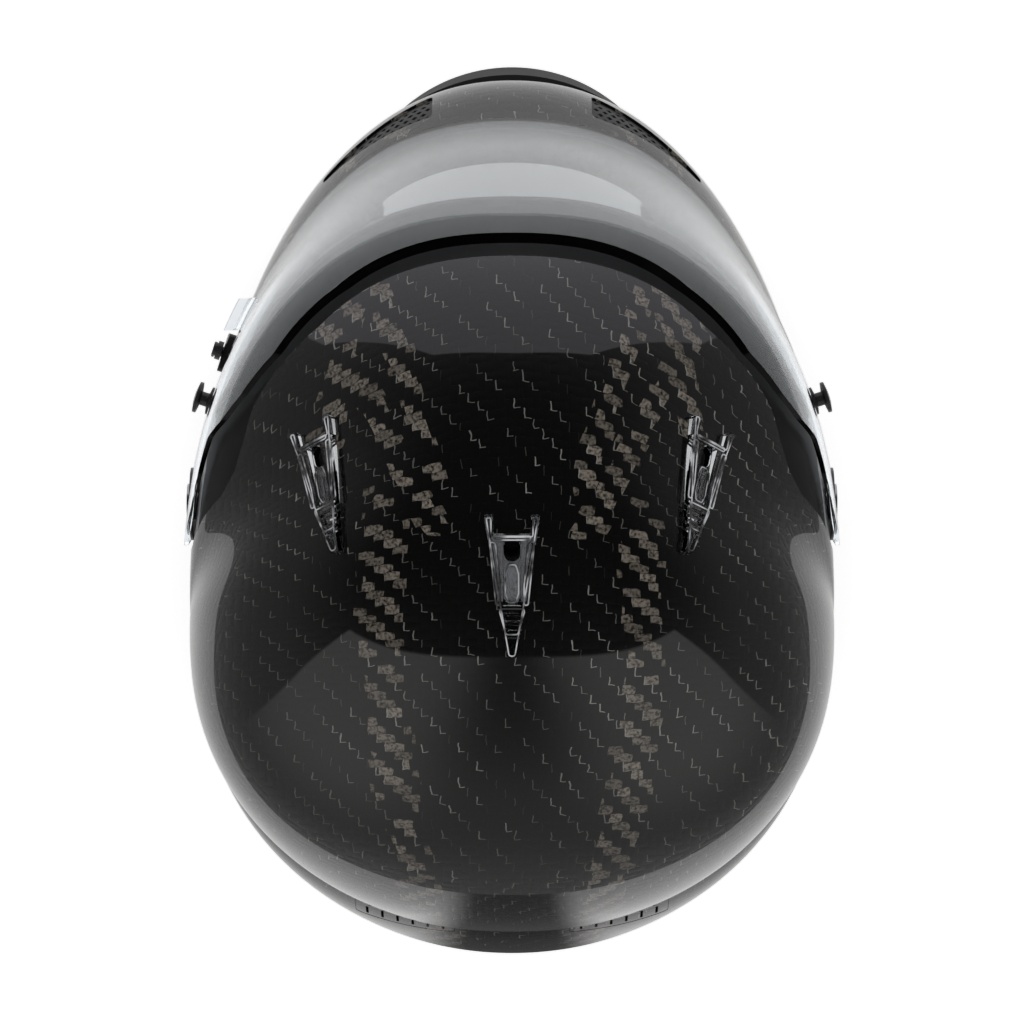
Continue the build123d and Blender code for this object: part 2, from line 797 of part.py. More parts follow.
def make_insert(side):
    """A threaded tether insert with its flange on the shell."""
    plane = flank_plane(skin(0), side, insert_y, insert_z)
    flange_at = seat_clearance + insert_flange_height / 2
    insert = Pos(0, 0, flange_at + seat_clearance) * Cylinder(insert_flange_radius, insert_flange_height)
    insert += Pos(0, 0, -insert_length / 2 + flange_at) * Cylinder(insert_body_radius, insert_length)
    insert -= Cylinder(insert_bore_radius, 4 * insert_length)
    return largest(plane * insert)


def build():
    parts = {
        "shell": make_shell(),
        "shell_edge_trim": make_edge_trim(),
        "eyeport_gasket": make_gasket(),
        "visor_shield": make_visor(),
        "visor_lift_tab": make_lift_tab(),
        "latch_base": make_latch_base(),
        "latch_lever": make_latch_lever(),
        "chin_spoiler": make_spoiler(),
        "eps_liner": make_liner(),
        "chin_liner": make_chin_liner(),
        "crown_pad": make_crown_pad(),
        "neck_roll": make_neck_roll(),
        "strap_anchor_bolts": make_strap_bolts(),
        "d_ring_lower": make_ring(0),
        "d_ring_upper": make_ring(1),
    }
    for name, side in (("left", 1), ("right", -1)):
        parts["tear_off_post_" + name] = make_post(side)
        parts["pivot_base_" + name] = make_base_plate(side)
        parts["pivot_washer_" + name] = make_washer(side)
        parts["pivot_screw_" + name] = make_hinge_screw(side)
        parts["chin_vent_grille_" + name] = make_chin_grille(side)
        parts["rear_exhaust_grille_" + name] = make_exhaust_grille(side)
        parts["cheek_pad_" + name] = make_cheek_pad(side)
        parts["chin_strap_" + name] = make_strap(side)
        parts["tether_insert_" + name] = make_insert(side)
    for name, plane in vent_planes().items():
        parts["top_vent_frame_" + name] = make_vent_frame(plane)
        parts["top_vent_slider_" + name] = make_vent_slider(plane)
    rear = parts["shell"].bounding_box().max.Y
    middle = (spoiler_tip_y + rear) / 2
    return {node: Pos(0, -middle, 0) * solid for node, solid in parts.items()}


os.makedirs("parts", exist_ok=True)
for node, solid in build().items():
    export_step(solid, "parts/" + node + ".step")
    print(node, round(solid.volume / 1000, 2), "cm3")
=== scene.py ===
import json
import math

import bmesh
import bpy
import numpy as np
from mathutils import Matrix, Vector
from mathutils.bvhtree import BVHTree


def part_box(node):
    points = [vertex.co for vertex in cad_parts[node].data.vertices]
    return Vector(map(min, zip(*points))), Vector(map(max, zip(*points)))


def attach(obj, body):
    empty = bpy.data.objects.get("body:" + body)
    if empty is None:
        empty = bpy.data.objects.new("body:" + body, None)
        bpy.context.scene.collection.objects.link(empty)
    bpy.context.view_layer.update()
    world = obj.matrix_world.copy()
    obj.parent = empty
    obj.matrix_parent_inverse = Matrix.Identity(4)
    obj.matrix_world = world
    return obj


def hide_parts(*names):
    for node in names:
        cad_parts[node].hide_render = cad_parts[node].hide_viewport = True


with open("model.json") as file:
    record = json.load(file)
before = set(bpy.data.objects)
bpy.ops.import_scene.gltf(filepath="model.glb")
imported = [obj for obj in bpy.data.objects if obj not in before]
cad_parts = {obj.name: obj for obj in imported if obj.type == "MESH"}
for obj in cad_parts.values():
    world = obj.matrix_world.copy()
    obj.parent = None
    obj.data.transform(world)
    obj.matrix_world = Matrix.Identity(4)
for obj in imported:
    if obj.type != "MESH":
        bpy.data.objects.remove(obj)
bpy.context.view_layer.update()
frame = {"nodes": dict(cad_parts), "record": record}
nodes = frame["nodes"]
print("frame loaded with", len(nodes), "nodes")


# node helpers

class Signal:
    # a shader value: plain arithmetic on it makes math nodes
    def __init__(self, tree, socket):
        self.tree, self.socket = tree, socket

    def math(self, operation, *values):
        node = self.tree.nodes.new("ShaderNodeMath")
        node.operation = operation
        for socket, value in zip(node.inputs, (self, *values)):
            feed(socket, value)
        return Signal(self.tree, node.outputs[0])

    def __add__(self, other):
        return self.math("ADD", other)

    def __sub__(self, other):
        return self.math("SUBTRACT", other)

    def __rsub__(self, other):
        return self * -1.0 + other

    def __mul__(self, other):
        return self.math("MULTIPLY", other)

    def __truediv__(self, other):
        return self.math("DIVIDE", other)

    def __gt__(self, other):
        return self.math("GREATER_THAN", other)

    def __lt__(self, other):
        return self.math("LESS_THAN", other)

    def __abs__(self):
        return self.math("ABSOLUTE")


def feed(socket, value):
    # a number or colour is set on the socket, a signal is linked to it
    if isinstance(value, Signal):
        value.tree.links.new(value.socket, socket)
    elif isinstance(value, tuple):
        socket.default_value = (*value, 1.0)
    else:
        socket.default_value = value


def outputsOf(tree, kind, group=None):
    node = tree.nodes.new(kind)
    if group:
        node.node_tree = group
    return node, {socket.name: Signal(tree, socket) for socket in node.outputs}


def mixNode(kind, slots, result, values):
    tree = values[0].tree
    node = tree.nodes.new("ShaderNodeMix")
    node.data_type = kind
    for slot, value in zip(slots, values):
        feed(node.inputs[slot], value)
    return Signal(tree, node.outputs[result])


def mixValue(factor, low, high):
    return mixNode("FLOAT", (0, 2, 3), 0, (factor, low, high))


def mixColor(factor, low, high):
    return mixNode("RGBA", (0, 6, 7), 2, (factor, low, high))


def rising(value, start, end):
    # 0 before the start, 1 after the end, smooth between them
    node = value.tree.nodes.new("ShaderNodeMapRange")
    node.interpolation_type = "SMOOTHSTEP"
    for label, given in (("Value", value), ("From Min", start), ("From Max", end)):
        feed(node.inputs[label], given)
    return Signal(value.tree, node.outputs[0])


def falling(value, start, end):
    return 1.0 - rising(value, start, end)


def noise(where, scale, detail=3.0):
    node = where.tree.nodes.new("ShaderNodeTexNoise")
    for label, given in (("Vector", where), ("Scale", scale), ("Detail", detail)):
        feed(node.inputs[label], given)
    return Signal(where.tree, node.outputs["Fac"])


def coordinates(tree, kind="Object"):
    return outputsOf(tree, "ShaderNodeTexCoord")[1][kind]


def split(vector):
    node = vector.tree.nodes.new("ShaderNodeSeparateXYZ")
    feed(node.inputs[0], vector)
    return [Signal(vector.tree, socket) for socket in node.outputs]


def newGroup(name, inputs, outputs):
    tree = bpy.data.node_groups.new(name, "ShaderNodeTree")
    for label, value in inputs.items():
        socket = tree.interface.new_socket(name=label, in_out="INPUT", socket_type="NodeSocketFloat")
        socket.default_value = value
    for label in outputs:
        tree.interface.new_socket(name=label, in_out="OUTPUT", socket_type="NodeSocketFloat")
    return tree, outputsOf(tree, "NodeGroupInput")[1], tree.nodes.new("NodeGroupOutput").inputs


def placeGroup(tree, group, **values):
    node, outputs = outputsOf(tree, "ShaderNodeGroup", group)
    for label, value in values.items():
        node.inputs[label].default_value = value
    return outputs


def newMaterial(name, **sockets):
    material = bpy.data.materials.new(name)
    material.use_nodes = True
    tree = material.node_tree
    tree.nodes.clear()
    output = tree.nodes.new("ShaderNodeOutputMaterial")
    shader = tree.nodes.new("ShaderNodeBsdfPrincipled")
    for label, value in sockets.items():
        shader.inputs[label.replace("_", " ")].default_value = value
    tree.links.new(shader.outputs[0], output.inputs[0])
    return material, tree, shader.inputs


def addBump(shader, height, distance):
    node = height.tree.nodes.new("ShaderNodeBump")
    node.inputs["Distance"].default_value = distance
    node.inputs["Strength"].default_value = 1.0
    feed(node.inputs["Height"], height)
    height.tree.links.new(node.outputs[0], shader["Normal"])


# fine grain and handling wear of moulded pieces

def makeGrainGroup():
    tree, given, put = newGroup("mouldedGrain", {"Grain": 900.0, "Wear": 40.0}, ("Tone", "Smudge", "Height"))
    where = coordinates(tree)
    fine = noise(where, given["Grain"], 2.0)
    feed(put["Smudge"], noise(where, given["Wear"], 5.0))
    feed(put["Tone"], fine * 0.4 + 0.8)
    feed(put["Height"], fine)
    return tree


# flat coordinates on a curved piece: from above, from the side or from the front
topFacing = 0.52


def facingPair(tree):
    where = coordinates(tree)
    x, y, z = split(where)
    sides = [abs(value) for value in split(coordinates(tree, "Normal"))]
    isTop, isSide = sides[2] > topFacing, sides[0] > sides[1]
    return mixValue(isTop, mixValue(isSide, x, y), x), mixValue(isTop, z, y), where


# the weave: sizes in metres, noise scales per metre, places along a float from 0 to 2
twillForm = {
    "swayScale": 14.0, "wobbleScale": 190.0, "wobble": 0.0022, "waverScale": 270.0, "waver": 0.0016,
    "skewStart": -0.03, "skewEnd": 0.07, "skewBow": 4.2, "hookPlace": 1.93, "hookLonger": 0.08,
    "footPlace": 1.3, "footSide": 0.92, "footShare": 0.35, "archShare": 0.6, "riseShare": 0.4,
    "threads": 44.0, "threadDepth": 0.03,
}


def makeTwillGroup():
    form = twillForm
    tree, given, put = newGroup("carbonTwill", {"Tow": 0.0032, "Drape": 0.004},
                                ("Warp", "Segment", "Edge", "Height"))
    across, along, where = facingPair(tree)
    sway = (noise(where, form["swayScale"], 0.0) - 0.5) * given["Drape"]
    wobble = (noise(where, form["wobbleScale"], 1.0) - 0.5) * form["wobble"]
    waver = (noise(where, form["waverScale"], 1.0) - 0.5) * form["waver"]
    # toward the temples the cross tows were drawn forward
    x, y, z = split(where)
    skew = x * x * form["skewBow"] * falling(y, form["skewStart"], form["skewEnd"])
    across = (across + waver + sway) / given["Tow"]
    along = (along + wobble - sway - skew) / given["Tow"]
    column, row = across.math("FLOOR"), along.math("FLOOR")
    inColumn, inRow = across - column, along - row
    step = (column + row).math("FLOORED_MODULO", 4.0)
    warp = step < 1.5
    # a float covers two cells
    place = mixValue(warp, step - 2.0 + inColumn, step + inRow)
    acrossTow = mixValue(warp, inRow, inColumn)
    arch = (acrossTow * math.pi).math("SINE") * form["archShare"]
    rise = (place * (math.pi / 2)).math("SINE") * form["riseShare"]
    threads = (acrossTow * form["threads"]).math("SINE") * form["threadDepth"]
    feed(put["Height"], arch + rise + threads)
    # one random shade for each float, numbered by its tow and by the cell it starts in
    back = step - mixValue(warp, 2.0, 0.0)
    cell = tree.nodes.new("ShaderNodeCombineXYZ")
    feed(cell.inputs[0], column - mixValue(warp, back, 0.0))
    feed(cell.inputs[1], row - mixValue(warp, 0.0, back))
    random, outputs = outputsOf(tree, "ShaderNodeTexWhiteNoise")
    tree.links.new(cell.outputs[0], random.inputs["Vector"])
    shade = outputs["Value"]
    feed(put["Segment"], shade)
    # painted highlight: a light hook where a cross tow dives under its neighbour
    hookHighlight = place > shade * -form["hookLonger"] + form["hookPlace"]
    foot = (place > form["footPlace"]) * (acrossTow > form["footSide"]) * (shade > form["footShare"])
    feed(put["Edge"], hookHighlight.math("MAXIMUM", foot) * (1.0 - warp))
    feed(put["Warp"], warp)
    return tree


def makeWeaveGroup():
    tree, given, put = newGroup("clothWeave", {"Thread": 0.0009}, ("Tone", "Height"))
    across, along, where = facingPair(tree)
    waves = [(value / given["Thread"] * (2 * math.pi)).math("SINE") for value in (across, along)]
    fuzz = noise(where, 260.0)
    feed(put["Height"], waves[0] * waves[1] * 0.5 + fuzz)
    feed(put["Tone"], fuzz * 0.7 + 0.65)
    return tree


grainGroup = makeGrainGroup()
twillGroup = makeTwillGroup()
weaveGroup = makeWeaveGroup()


# materials

carbonFinish = {
    "towWidth": 0.0032, "drape": 0.006, "towHeight": 0.00012,
    # the light tow and hook colours are painted highlights of the fibres
    "dark": (0.0020, 0.0020, 0.0019), "fibreHighlight": (0.250, 0.218, 0.182), "hookHighlight": (0.24, 0.235, 0.22),
    "hookShare": 0.85, "fibreRoughness": 0.42, "highlightShare": 0.93, "patchScale": 16.0, "patchDepth": 0.65,
    "patchRange": (0.40, 0.60), "archRange": (0.12, 0.5), "grainRange": (0.25, 0.65), "hookRange": (0.0, 0.8),
    "highlightTone": (0.45, 0.40), "smudge": 0.12, "grain": 900.0, "wear": 18.0,
    "wanderScale": 26.0, "wander": 0.010, "crownStart": (-0.025, 0.02), "templeFade": 0.006,
    # lines of painted highlight where the cross tows are coloured light: middle, reach, bend or slope, half
    # width, rearmost place
    "crownHighlight": (0.045, 0.046, 1.25, 0.0080),
    "templeHighlights": [(-0.0397, 0.0527, -0.545, 0.0064, 0.012), (-0.0397, 0.0630, 0.20, 0.0055, -0.020),
                    (-0.0467, 0.0375, -0.30, 0.0050, -0.005)],
}


def nearLine(sideways, middle, width):
    return falling(abs(sideways - middle), 0.5 * width, 1.3 * width)


def fibreHighlightBands(where):
    # painted highlight: bands where the cross tows are coloured light, standing in for their sheen under the
    # side lamps
    facts = carbonFinish
    x, y, z = split(where)
    sideways = abs(x) + (noise(where, facts["wanderScale"], 1.0) - 0.5) * facts["wander"]
    middle, reach, bend, width = facts["crownHighlight"]
    back = y - middle
    mask = nearLine(sideways, back * back * -bend + reach, width) * rising(y, *facts["crownStart"])
    for middle, reach, slope, width, end in facts["templeHighlights"]:
        line = nearLine(sideways, (y - middle) * slope + reach, width)
        front = falling(y, end - facts["templeFade"], end + facts["templeFade"])
        mask = mask.math("MAXIMUM", line * front)
    return mask


def makeCarbon():
    facts = carbonFinish
    material, tree, shader = newMaterial(
        "carbonLacquer", Specular_IOR_Level=0.12, Coat_Weight=1.0, Coat_Roughness=0.012, Coat_IOR=1.5)
    twill = placeGroup(tree, twillGroup, Tow=facts["towWidth"], Drape=facts["drape"])
    grain = placeGroup(tree, grainGroup, Grain=facts["grain"], Wear=facts["wear"])
    where, shade = coordinates(tree), twill["Segment"]
    # painted highlight: cross tows inside the bands are coloured light, brightest across the middle of each
    # tow
    highlighted = fibreHighlightBands(where) * facts["highlightShare"] > shade
    slope, base = facts["highlightTone"]
    lit = highlighted * (shade * slope + base) * (1.0 - twill["Warp"])
    lit = lit * rising(twill["Height"], *facts["archRange"]) * rising(grain["Height"], *facts["grainRange"])
    patches = rising(noise(where, facts["patchScale"], 2.0), *facts["patchRange"])
    patches = patches * facts["patchDepth"] + (1.0 - facts["patchDepth"])
    # painted highlight: light hooks at the ends of the cross tows, in random patches
    marks = patches * facts["hookShare"] * twill["Edge"] * rising(shade, *facts["hookRange"])
    tone = mixColor(lit, facts["dark"], facts["fibreHighlight"])
    feed(shader["Base Color"], mixColor(marks, tone, facts["hookHighlight"]))
    smudge = facts["smudge"]
    feed(shader["Roughness"], grain["Smudge"] * smudge + (facts["fibreRoughness"] - smudge / 2))
    addBump(shader, twill["Height"], facts["towHeight"])
    return material


clearFinish = {"visorTint": (0.80, 0.835, 0.865), "ventTint": (0.62, 0.63, 0.65), "index": 1.5,
               "grain": 150.0, "wear": 25.0, "edgeDark": (0.05, 0.05, 0.052), "edgeGlint": (0.62, 0.63, 0.65),
               "glintScale": 130.0, "glintRange": (0.40, 0.62), "edgeRoughness": 0.18}
plainFinish = {"darkShare": 0.72, "clothDark": 0.55, "clearDark": 0.96, "smudge": 0.18,
               "beadScale": 320.0, "beadDepth": 0.0006}


def darker(color, share):
    return tuple(plainFinish[share] * c for c in color)


def makeClear(name, tint, roughness):
    material, tree, shader = newMaterial(name, Transmission_Weight=1.0, IOR=clearFinish["index"])
    grain = placeGroup(tree, grainGroup, Grain=clearFinish["grain"], Wear=clearFinish["wear"])
    feed(shader["Base Color"], mixColor(grain["Smudge"], darker(tint, "clearDark"), tint))
    feed(shader["Roughness"], grain["Smudge"] * roughness)
    return material


def makeEdge():
    # a clear edge bead with painted glints: noise patches of its base colour are light, standing in for the
    # light a polished edge catches
    facts = clearFinish
    material, tree, shader = newMaterial("edgeWithPaintedGlints", Roughness=facts["edgeRoughness"])
    glint = rising(noise(coordinates(tree), facts["glintScale"], 2.0), *facts["glintRange"])
    feed(shader["Base Color"], mixColor(glint, facts["edgeDark"], facts["edgeGlint"]))
    return material


def makeMoulded(name, color, roughness, grain, wear, height, **sockets):
    material, tree, shader = newMaterial(name, **sockets)
    marks = placeGroup(tree, grainGroup, Grain=grain, Wear=wear)
    smudge = plainFinish["smudge"]
    share = marks["Tone"] * marks["Smudge"]
    feed(shader["Base Color"], mixColor(share, darker(color, "darkShare"), color))
    feed(shader["Roughness"], marks["Smudge"] * smudge + (roughness - smudge / 2))
    addBump(shader, marks["Height"], height)
    return material


def makeCloth(name, color, thread, height, roughness):
    material, tree, shader = newMaterial(
        name, Roughness=roughness, Sheen_Weight=0.25, Sheen_Roughness=0.45)
    weave = placeGroup(tree, weaveGroup, Thread=thread)
    feed(shader["Base Color"], mixColor(weave["Tone"], darker(color, "clothDark"), color))
    addBump(shader, weave["Height"], height)
    return material


def makeFoam(name, color):
    material, tree, shader = newMaterial(name, Roughness=0.9)
    beads, outputs = outputsOf(tree, "ShaderNodeTexVoronoi")
    beads.inputs["Scale"].default_value = plainFinish["beadScale"]
    feed(beads.inputs["Vector"], coordinates(tree))
    away = outputs["Distance"]
    feed(shader["Base Color"], mixColor(away, color, tuple(0.5 * c for c in color)))
    addBump(shader, 1.0 - away, plainFinish["beadDepth"])
    return material


materials = {
    "carbon": makeCarbon(),
    "visor": makeClear("clearVisor", clearFinish["visorTint"], 0.03),
    "vent": makeClear("clearVent", clearFinish["ventTint"], 0.02),
    "rubber": makeMoulded("edgeRubber", (0.028, 0.028, 0.03), 0.62, 700.0, 30.0, 0.00006),
    "black": makeMoulded("satinBlack", (0.022, 0.022, 0.024), 0.30, 900.0, 40.0, 0.00002),
    "spoiler": makeMoulded("spoilerPlastic", (0.022, 0.022, 0.024), 0.5, 900.0, 30.0, 0.00004,
                           Specular_IOR_Level=0.15),
    "edge": makeEdge(),
    "thread": makeMoulded("stitchThread", (0.05, 0.05, 0.055), 0.8, 2400.0, 60.0, 0.00008),
    # painted shade: near-black colour for the step behind the visor's edge
    "stepShade": makeMoulded("paintedStepShade", (0.006, 0.006, 0.006), 0.55, 900.0, 30.0, 0.00002,
                             Specular_IOR_Level=0.2),
    "mesh": makeMoulded("blackMesh", (0.015, 0.015, 0.016), 0.5, 900.0, 30.0, 0.00003),
    "darkMetal": makeMoulded("anodisedMetal", (0.10, 0.10, 0.11), 0.34, 1200.0, 30.0, 0.00001, Metallic=1.0),
    "brightMetal": makeMoulded("brushedMetal", (0.56, 0.56, 0.57), 0.28, 1200.0, 30.0, 0.00001, Metallic=1.0),
    "foam": makeFoam("linerFoam", (0.045, 0.045, 0.048)),
    "knit": makeCloth("brushedKnit", (0.035, 0.035, 0.04), 0.0011, 0.00025, 0.92),
    "webbing": makeCloth("wovenWebbing", (0.022, 0.022, 0.024), 0.0016, 0.00035, 0.7),
}
slotFinish = {
    "carbon_shell": "carbon", "clear_visor": "visor", "clear_vent": "vent", "edge_rubber": "rubber",
    "black_plastic": "black", "spoiler_plastic": "spoiler", "black_mesh": "mesh",
    "dark_metal": "darkMetal", "bright_metal": "brightMetal", "foam_liner": "foam",
    "padding": "knit", "webbing": "webbing",
}


def dress(piece, *finishes):
    piece.data.materials.clear()
    for finish in finishes:
        piece.data.materials.append(materials[finish])


def enter(piece, node, body="helmet_shell"):
    # the piece takes the place of a solid and moves with its body
    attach(piece, body)
    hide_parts(node)


for part in frame["record"]["subparts"]:
    dress(nodes[part["node"]], slotFinish[part["material_slot"]])
print("materials made and assigned")


# how far cutters reach past the helmet, and what the smoothing of cut pieces takes as lying on a form
cutReach = 0.25
smoothing = {"sharpDegrees": 28, "near": 0.0004, "facing": 0.94, "least": 1e-6}

# the helmet's smooth form, from the same sizes as the solids

helmetForm = {
    "length": 0.350, "height": 0.259, "halfWidth": 0.1195, "wall": 0.003,
    "sideCentre": (0.0403, 0.1446), "hinge": (-0.003, 0.1476), "browRadius": 0.1104,
    "chin": [(0.057, -0.232, 4.00), (-0.200, -0.190, 3.10), (-0.429, -0.080, 2.27), (-0.472, 0.030, 2.19),
             (-0.486, 0.160, 2.12), (-0.475, 0.224, 2.11), (-0.424, 0.340, 2.16), (-0.380, 0.490, 2.19),
             (-0.339, 0.629, 2.35)],
    "brow": [(30.6, 1.000, 2.40), (54.0, 0.995, 2.01), (75.0, 0.987, 1.78)],
    "crown": [(0.034, 1.000, 1.93), (0.171, 0.958, 2.15), (0.303, 0.849, 2.41), (0.391, 0.695, 2.48),
              (0.436, 0.560, 2.28), (0.453, 0.448, 2.18)],
    "rear": [(0.4375, 0.405, 2.24), (0.454, 0.352, 2.29), (0.482, 0.255, 2.23), (0.496, 0.162, 2.07),
             (0.489, 0.050, 2.02), (0.429, -0.080, 2.80), (0.257, -0.193, 3.50)],
    "columns": 300, "rows": 132,
}
outlines = {
    "eyeport": [(-0.62, 0.680), (-0.300, 0.690), (-0.190, 0.722), (-0.105, 0.700),
                (-0.105, 0.480), (-0.190, 0.425), (-0.300, 0.380), (-0.62, 0.340)],
    "visor": [(-0.62, 0.803), (-0.300, 0.800), (-0.230, 0.806), (-0.163, 0.792), (-0.120, 0.760),
              (-0.095, 0.730), (-0.078, 0.697), (-0.040, 0.679), (-0.006, 0.660), (0.018, 0.634),
              (0.036, 0.590), (0.030, 0.545), (0.000, 0.508), (-0.040, 0.494), (-0.120, 0.470),
              (-0.240, 0.440), (-0.290, 0.411), (-0.350, 0.369), (-0.397, 0.344), (-0.62, 0.335)],
    "recess": [(-0.62, 0.828), (-0.260, 0.822), (-0.190, 0.812), (-0.138, 0.785), (-0.108, 0.772),
               (-0.072, 0.766), (-0.043, 0.754), (-0.018, 0.728), (0.006, 0.678), (0.036, 0.625),
               (0.050, 0.560), (0.030, 0.505), (-0.040, 0.470), (-0.120, 0.446), (-0.240, 0.416),
               (-0.290, 0.390), (-0.350, 0.350), (-0.400, 0.326), (-0.62, 0.318)],
    "basePlate": [(-0.076, 0.470), (-0.010, 0.488), (0.046, 0.545), (0.046, 0.590),
                  (0.015, 0.652), (-0.045, 0.664), (-0.076, 0.640)],
    "rim": [-0.60, -0.20, 0.28, 0.60],
}
fits = {
    "visorGap": 0.0009, "visorThickness": 0.003, "visorSideGap": 0.0011, "visorSideThickness": 0.0015,
    "recess": 0.0008, "plateDepth": 0.0012, "seat": 0.0001, "visorCorner": 0.006, "eyeportCorner": 0.017,
    "plateCorner": 0.005, "rimHeight": 0.0016, "rimRise": 0.010, "rimRadius": 0.120,
}
# the solids were centred on the overall box, so everything here moves with the spoiler's tip
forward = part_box("chin_spoiler")[0].y + 0.1774


def centreLine():
    long, high = helmetForm["length"], helmetForm["height"]
    hingeY, hingeZ = helmetForm["hinge"]
    brow = []
    for degrees, share, roundness in helmetForm["brow"]:
        turn, radius = math.radians(degrees), share * helmetForm["browRadius"]
        brow.append((hingeY - radius * math.cos(turn), hingeZ + radius * math.sin(turn), roundness))
    crown, rear, chin = [[(y * long, z * high, n) for y, z, n in helmetForm[name]]
                         for name in ("crown", "rear", "chin")]
    return np.array([crown[-1], *rear, *chin, *brow, *crown])


def smoothThrough(points, places):
    # natural cubic spline by chord length, read at places given as point number plus share
    steps = np.linalg.norm(np.diff(points, axis=0), axis=1)
    count = len(points)
    matrix = np.eye(count)
    right = np.zeros((count, points.shape[1]))
    for k in range(1, count - 1):
        matrix[k, k - 1:k + 2] = steps[k - 1], 2 * (steps[k - 1] + steps[k]), steps[k]
        right[k] = 6 * ((points[k + 1] - points[k]) / steps[k] - (points[k] - points[k - 1]) / steps[k - 1])
    bend = np.linalg.solve(matrix, right)
    part = np.minimum(places.astype(int), count - 2)
    t = (places - part)[:, None]
    h = steps[part][:, None]
    a, b = bend[part], bend[part + 1]
    return ((1 - t) * points[part] + t * points[part + 1]
            + h * h / 6 * (((1 - t) ** 3 - (1 - t)) * a + (t ** 3 - t) * b))


def columnPlaces(line):
    steps = np.linalg.norm(np.diff(line[:, :2], axis=0), axis=1)
    places = []
    for k, step in enumerate(steps):
        many = max(4, round(helmetForm["columns"] * step / steps.sum()))
        places += [k + j / many for j in range(many)]
    return np.array(places)


def skinGrid(inset, sideInset):
    line = centreLine()
    places = columnPlaces(line)
    centre = np.array(helmetForm["sideCentre"])
    halfWidth = helmetForm["halfWidth"] - sideInset
    away = line[:, :2] - centre
    reach = np.linalg.norm(away, axis=1)
    rows = []
    turns = np.linspace(-math.pi / 2, math.pi / 2, helmetForm["rows"] + 1)[1:-1]
    for turn in turns:
        share = abs(math.sin(turn))
        scale = (1 - share ** line[:, 2]) ** (1 / line[:, 2]) * (reach - inset) / reach
        curve = smoothThrough(centre + away * scale[:, None], places)
        x = np.full((len(curve), 1), math.sin(turn) * halfWidth)
        rows.append(np.hstack([x, curve + (forward, 0.0)]))
    return np.array(rows), [(-halfWidth, centre[0] + forward, centre[1]),
                            (halfWidth, centre[0] + forward, centre[1])]


def skinMesh(inset, sideInset=None, flipped=False):
    grid, poles = skinGrid(inset, inset if sideInset is None else sideInset)
    rows, columns = grid.shape[:2]
    points = np.vstack([grid.reshape(-1, 3), poles])
    faces = []
    for j in range(columns):
        k = (j + 1) % columns
        for i in range(rows - 1):
            faces.append((i * columns + j, i * columns + k, (i + 1) * columns + k, (i + 1) * columns + j))
        faces.append((rows * columns, k, j))
        faces.append((rows * columns + 1, (rows - 1) * columns + j, (rows - 1) * columns + k))
    if flipped:
        faces = [face[::-1] for face in faces]
    return points, faces


def newPiece(name, points, faces):
    mesh = bpy.data.meshes.new(name)
    mesh.from_pydata([tuple(p) for p in points], [], faces)
    mesh.validate()
    piece = bpy.data.objects.new(name, mesh)
    bpy.context.scene.collection.objects.link(piece)
    return piece


def joined(name, *parts):
    points, faces, start = [], [], 0
    for somePoints, someFaces in parts:
        points.append(np.array(somePoints))
        faces += [tuple(v + start for v in face) for face in someFaces]
        start += len(somePoints)
    return newPiece(name, np.vstack(points), faces)


def roundedOutline(points, radius, grow=0.0):
    # corners rounded by one radius or one each, the outline first moved outward
    points = [Vector(p) for p in points]
    radii = list(radius) if isinstance(radius, list) else [radius] * len(points)
    area = sum(a.x * b.y - b.x * a.y for a, b in zip(points, points[1:] + points[:1]))
    if area < 0:
        points.reverse()
        radii.reverse()
    count = len(points)
    if grow:
        moved = []
        for k in range(count):
            before = (points[k] - points[k - 1]).normalized()
            after = (points[(k + 1) % count] - points[k]).normalized()
            out = Vector((before.y, -before.x)) + Vector((after.y, -after.x))
            moved.append(points[k] + out * grow / max(0.2, out.dot(Vector((before.y, -before.x)))))
        points = moved
    outline = []
    for k in range(count):
        corner, radius = points[k], radii[k]
        before, after = points[k - 1] - corner, points[(k + 1) % count] - corner
        half = before.angle(after) / 2
        run = min(radius / math.tan(half), 0.45 * before.length, 0.45 * after.length) if radius else 0.0
        start, end = corner + before.normalized() * run, corner + after.normalized() * run
        bits = 1 if run == 0.0 else max(2, int((math.pi - 2 * half) * radius / 0.0008))
        for j in range(bits + (run > 0.0)):
            t = j / bits
            outline.append((start * (1 - t) ** 2 + corner * 2 * t * (1 - t) + end * t ** 2).to_tuple())
    return outline


def prismMesh(outline, place, low, high):
    # place turns an outline point and a depth into a point in space
    count = len(outline)
    points = [place(a, b, low) for a, b in outline] + [place(a, b, high) for a, b in outline]
    faces = [tuple(range(count))[::-1], tuple(range(count, 2 * count))]
    faces += [(k, (k + 1) % count, (k + 1) % count + count, k + count) for k in range(count)]
    return points, faces


def sideOutline(name):
    return [(y * helmetForm["length"] + forward, z * helmetForm["height"]) for y, z in outlines[name]]


def sidePrism(name, corner, grow=0.0, low=-cutReach, high=cutReach):
    outline = roundedOutline(sideOutline(name), corner, grow)
    return prismMesh(outline, lambda y, z, x: (x, y, z), low, high)


def fixNormals(piece):
    form = bmesh.new()
    form.from_mesh(piece.data)
    bmesh.ops.recalc_face_normals(form, faces=form.faces)
    form.to_mesh(piece.data)
    form.free()
    return piece


def carve(piece, tool, operation="DIFFERENCE"):
    change = piece.modifiers.new("carve", "BOOLEAN")
    change.operation = operation
    change.solver = "EXACT"
    change.object = tool
    bpy.context.view_layer.update()
    result = bpy.data.meshes.new_from_object(piece.evaluated_get(bpy.context.evaluated_depsgraph_get()))
    piece.modifiers.clear()
    old, name = piece.data, piece.data.name
    piece.data = result
    bpy.data.meshes.remove(old)
    result.name = name
    bpy.data.objects.remove(tool)
    return piece


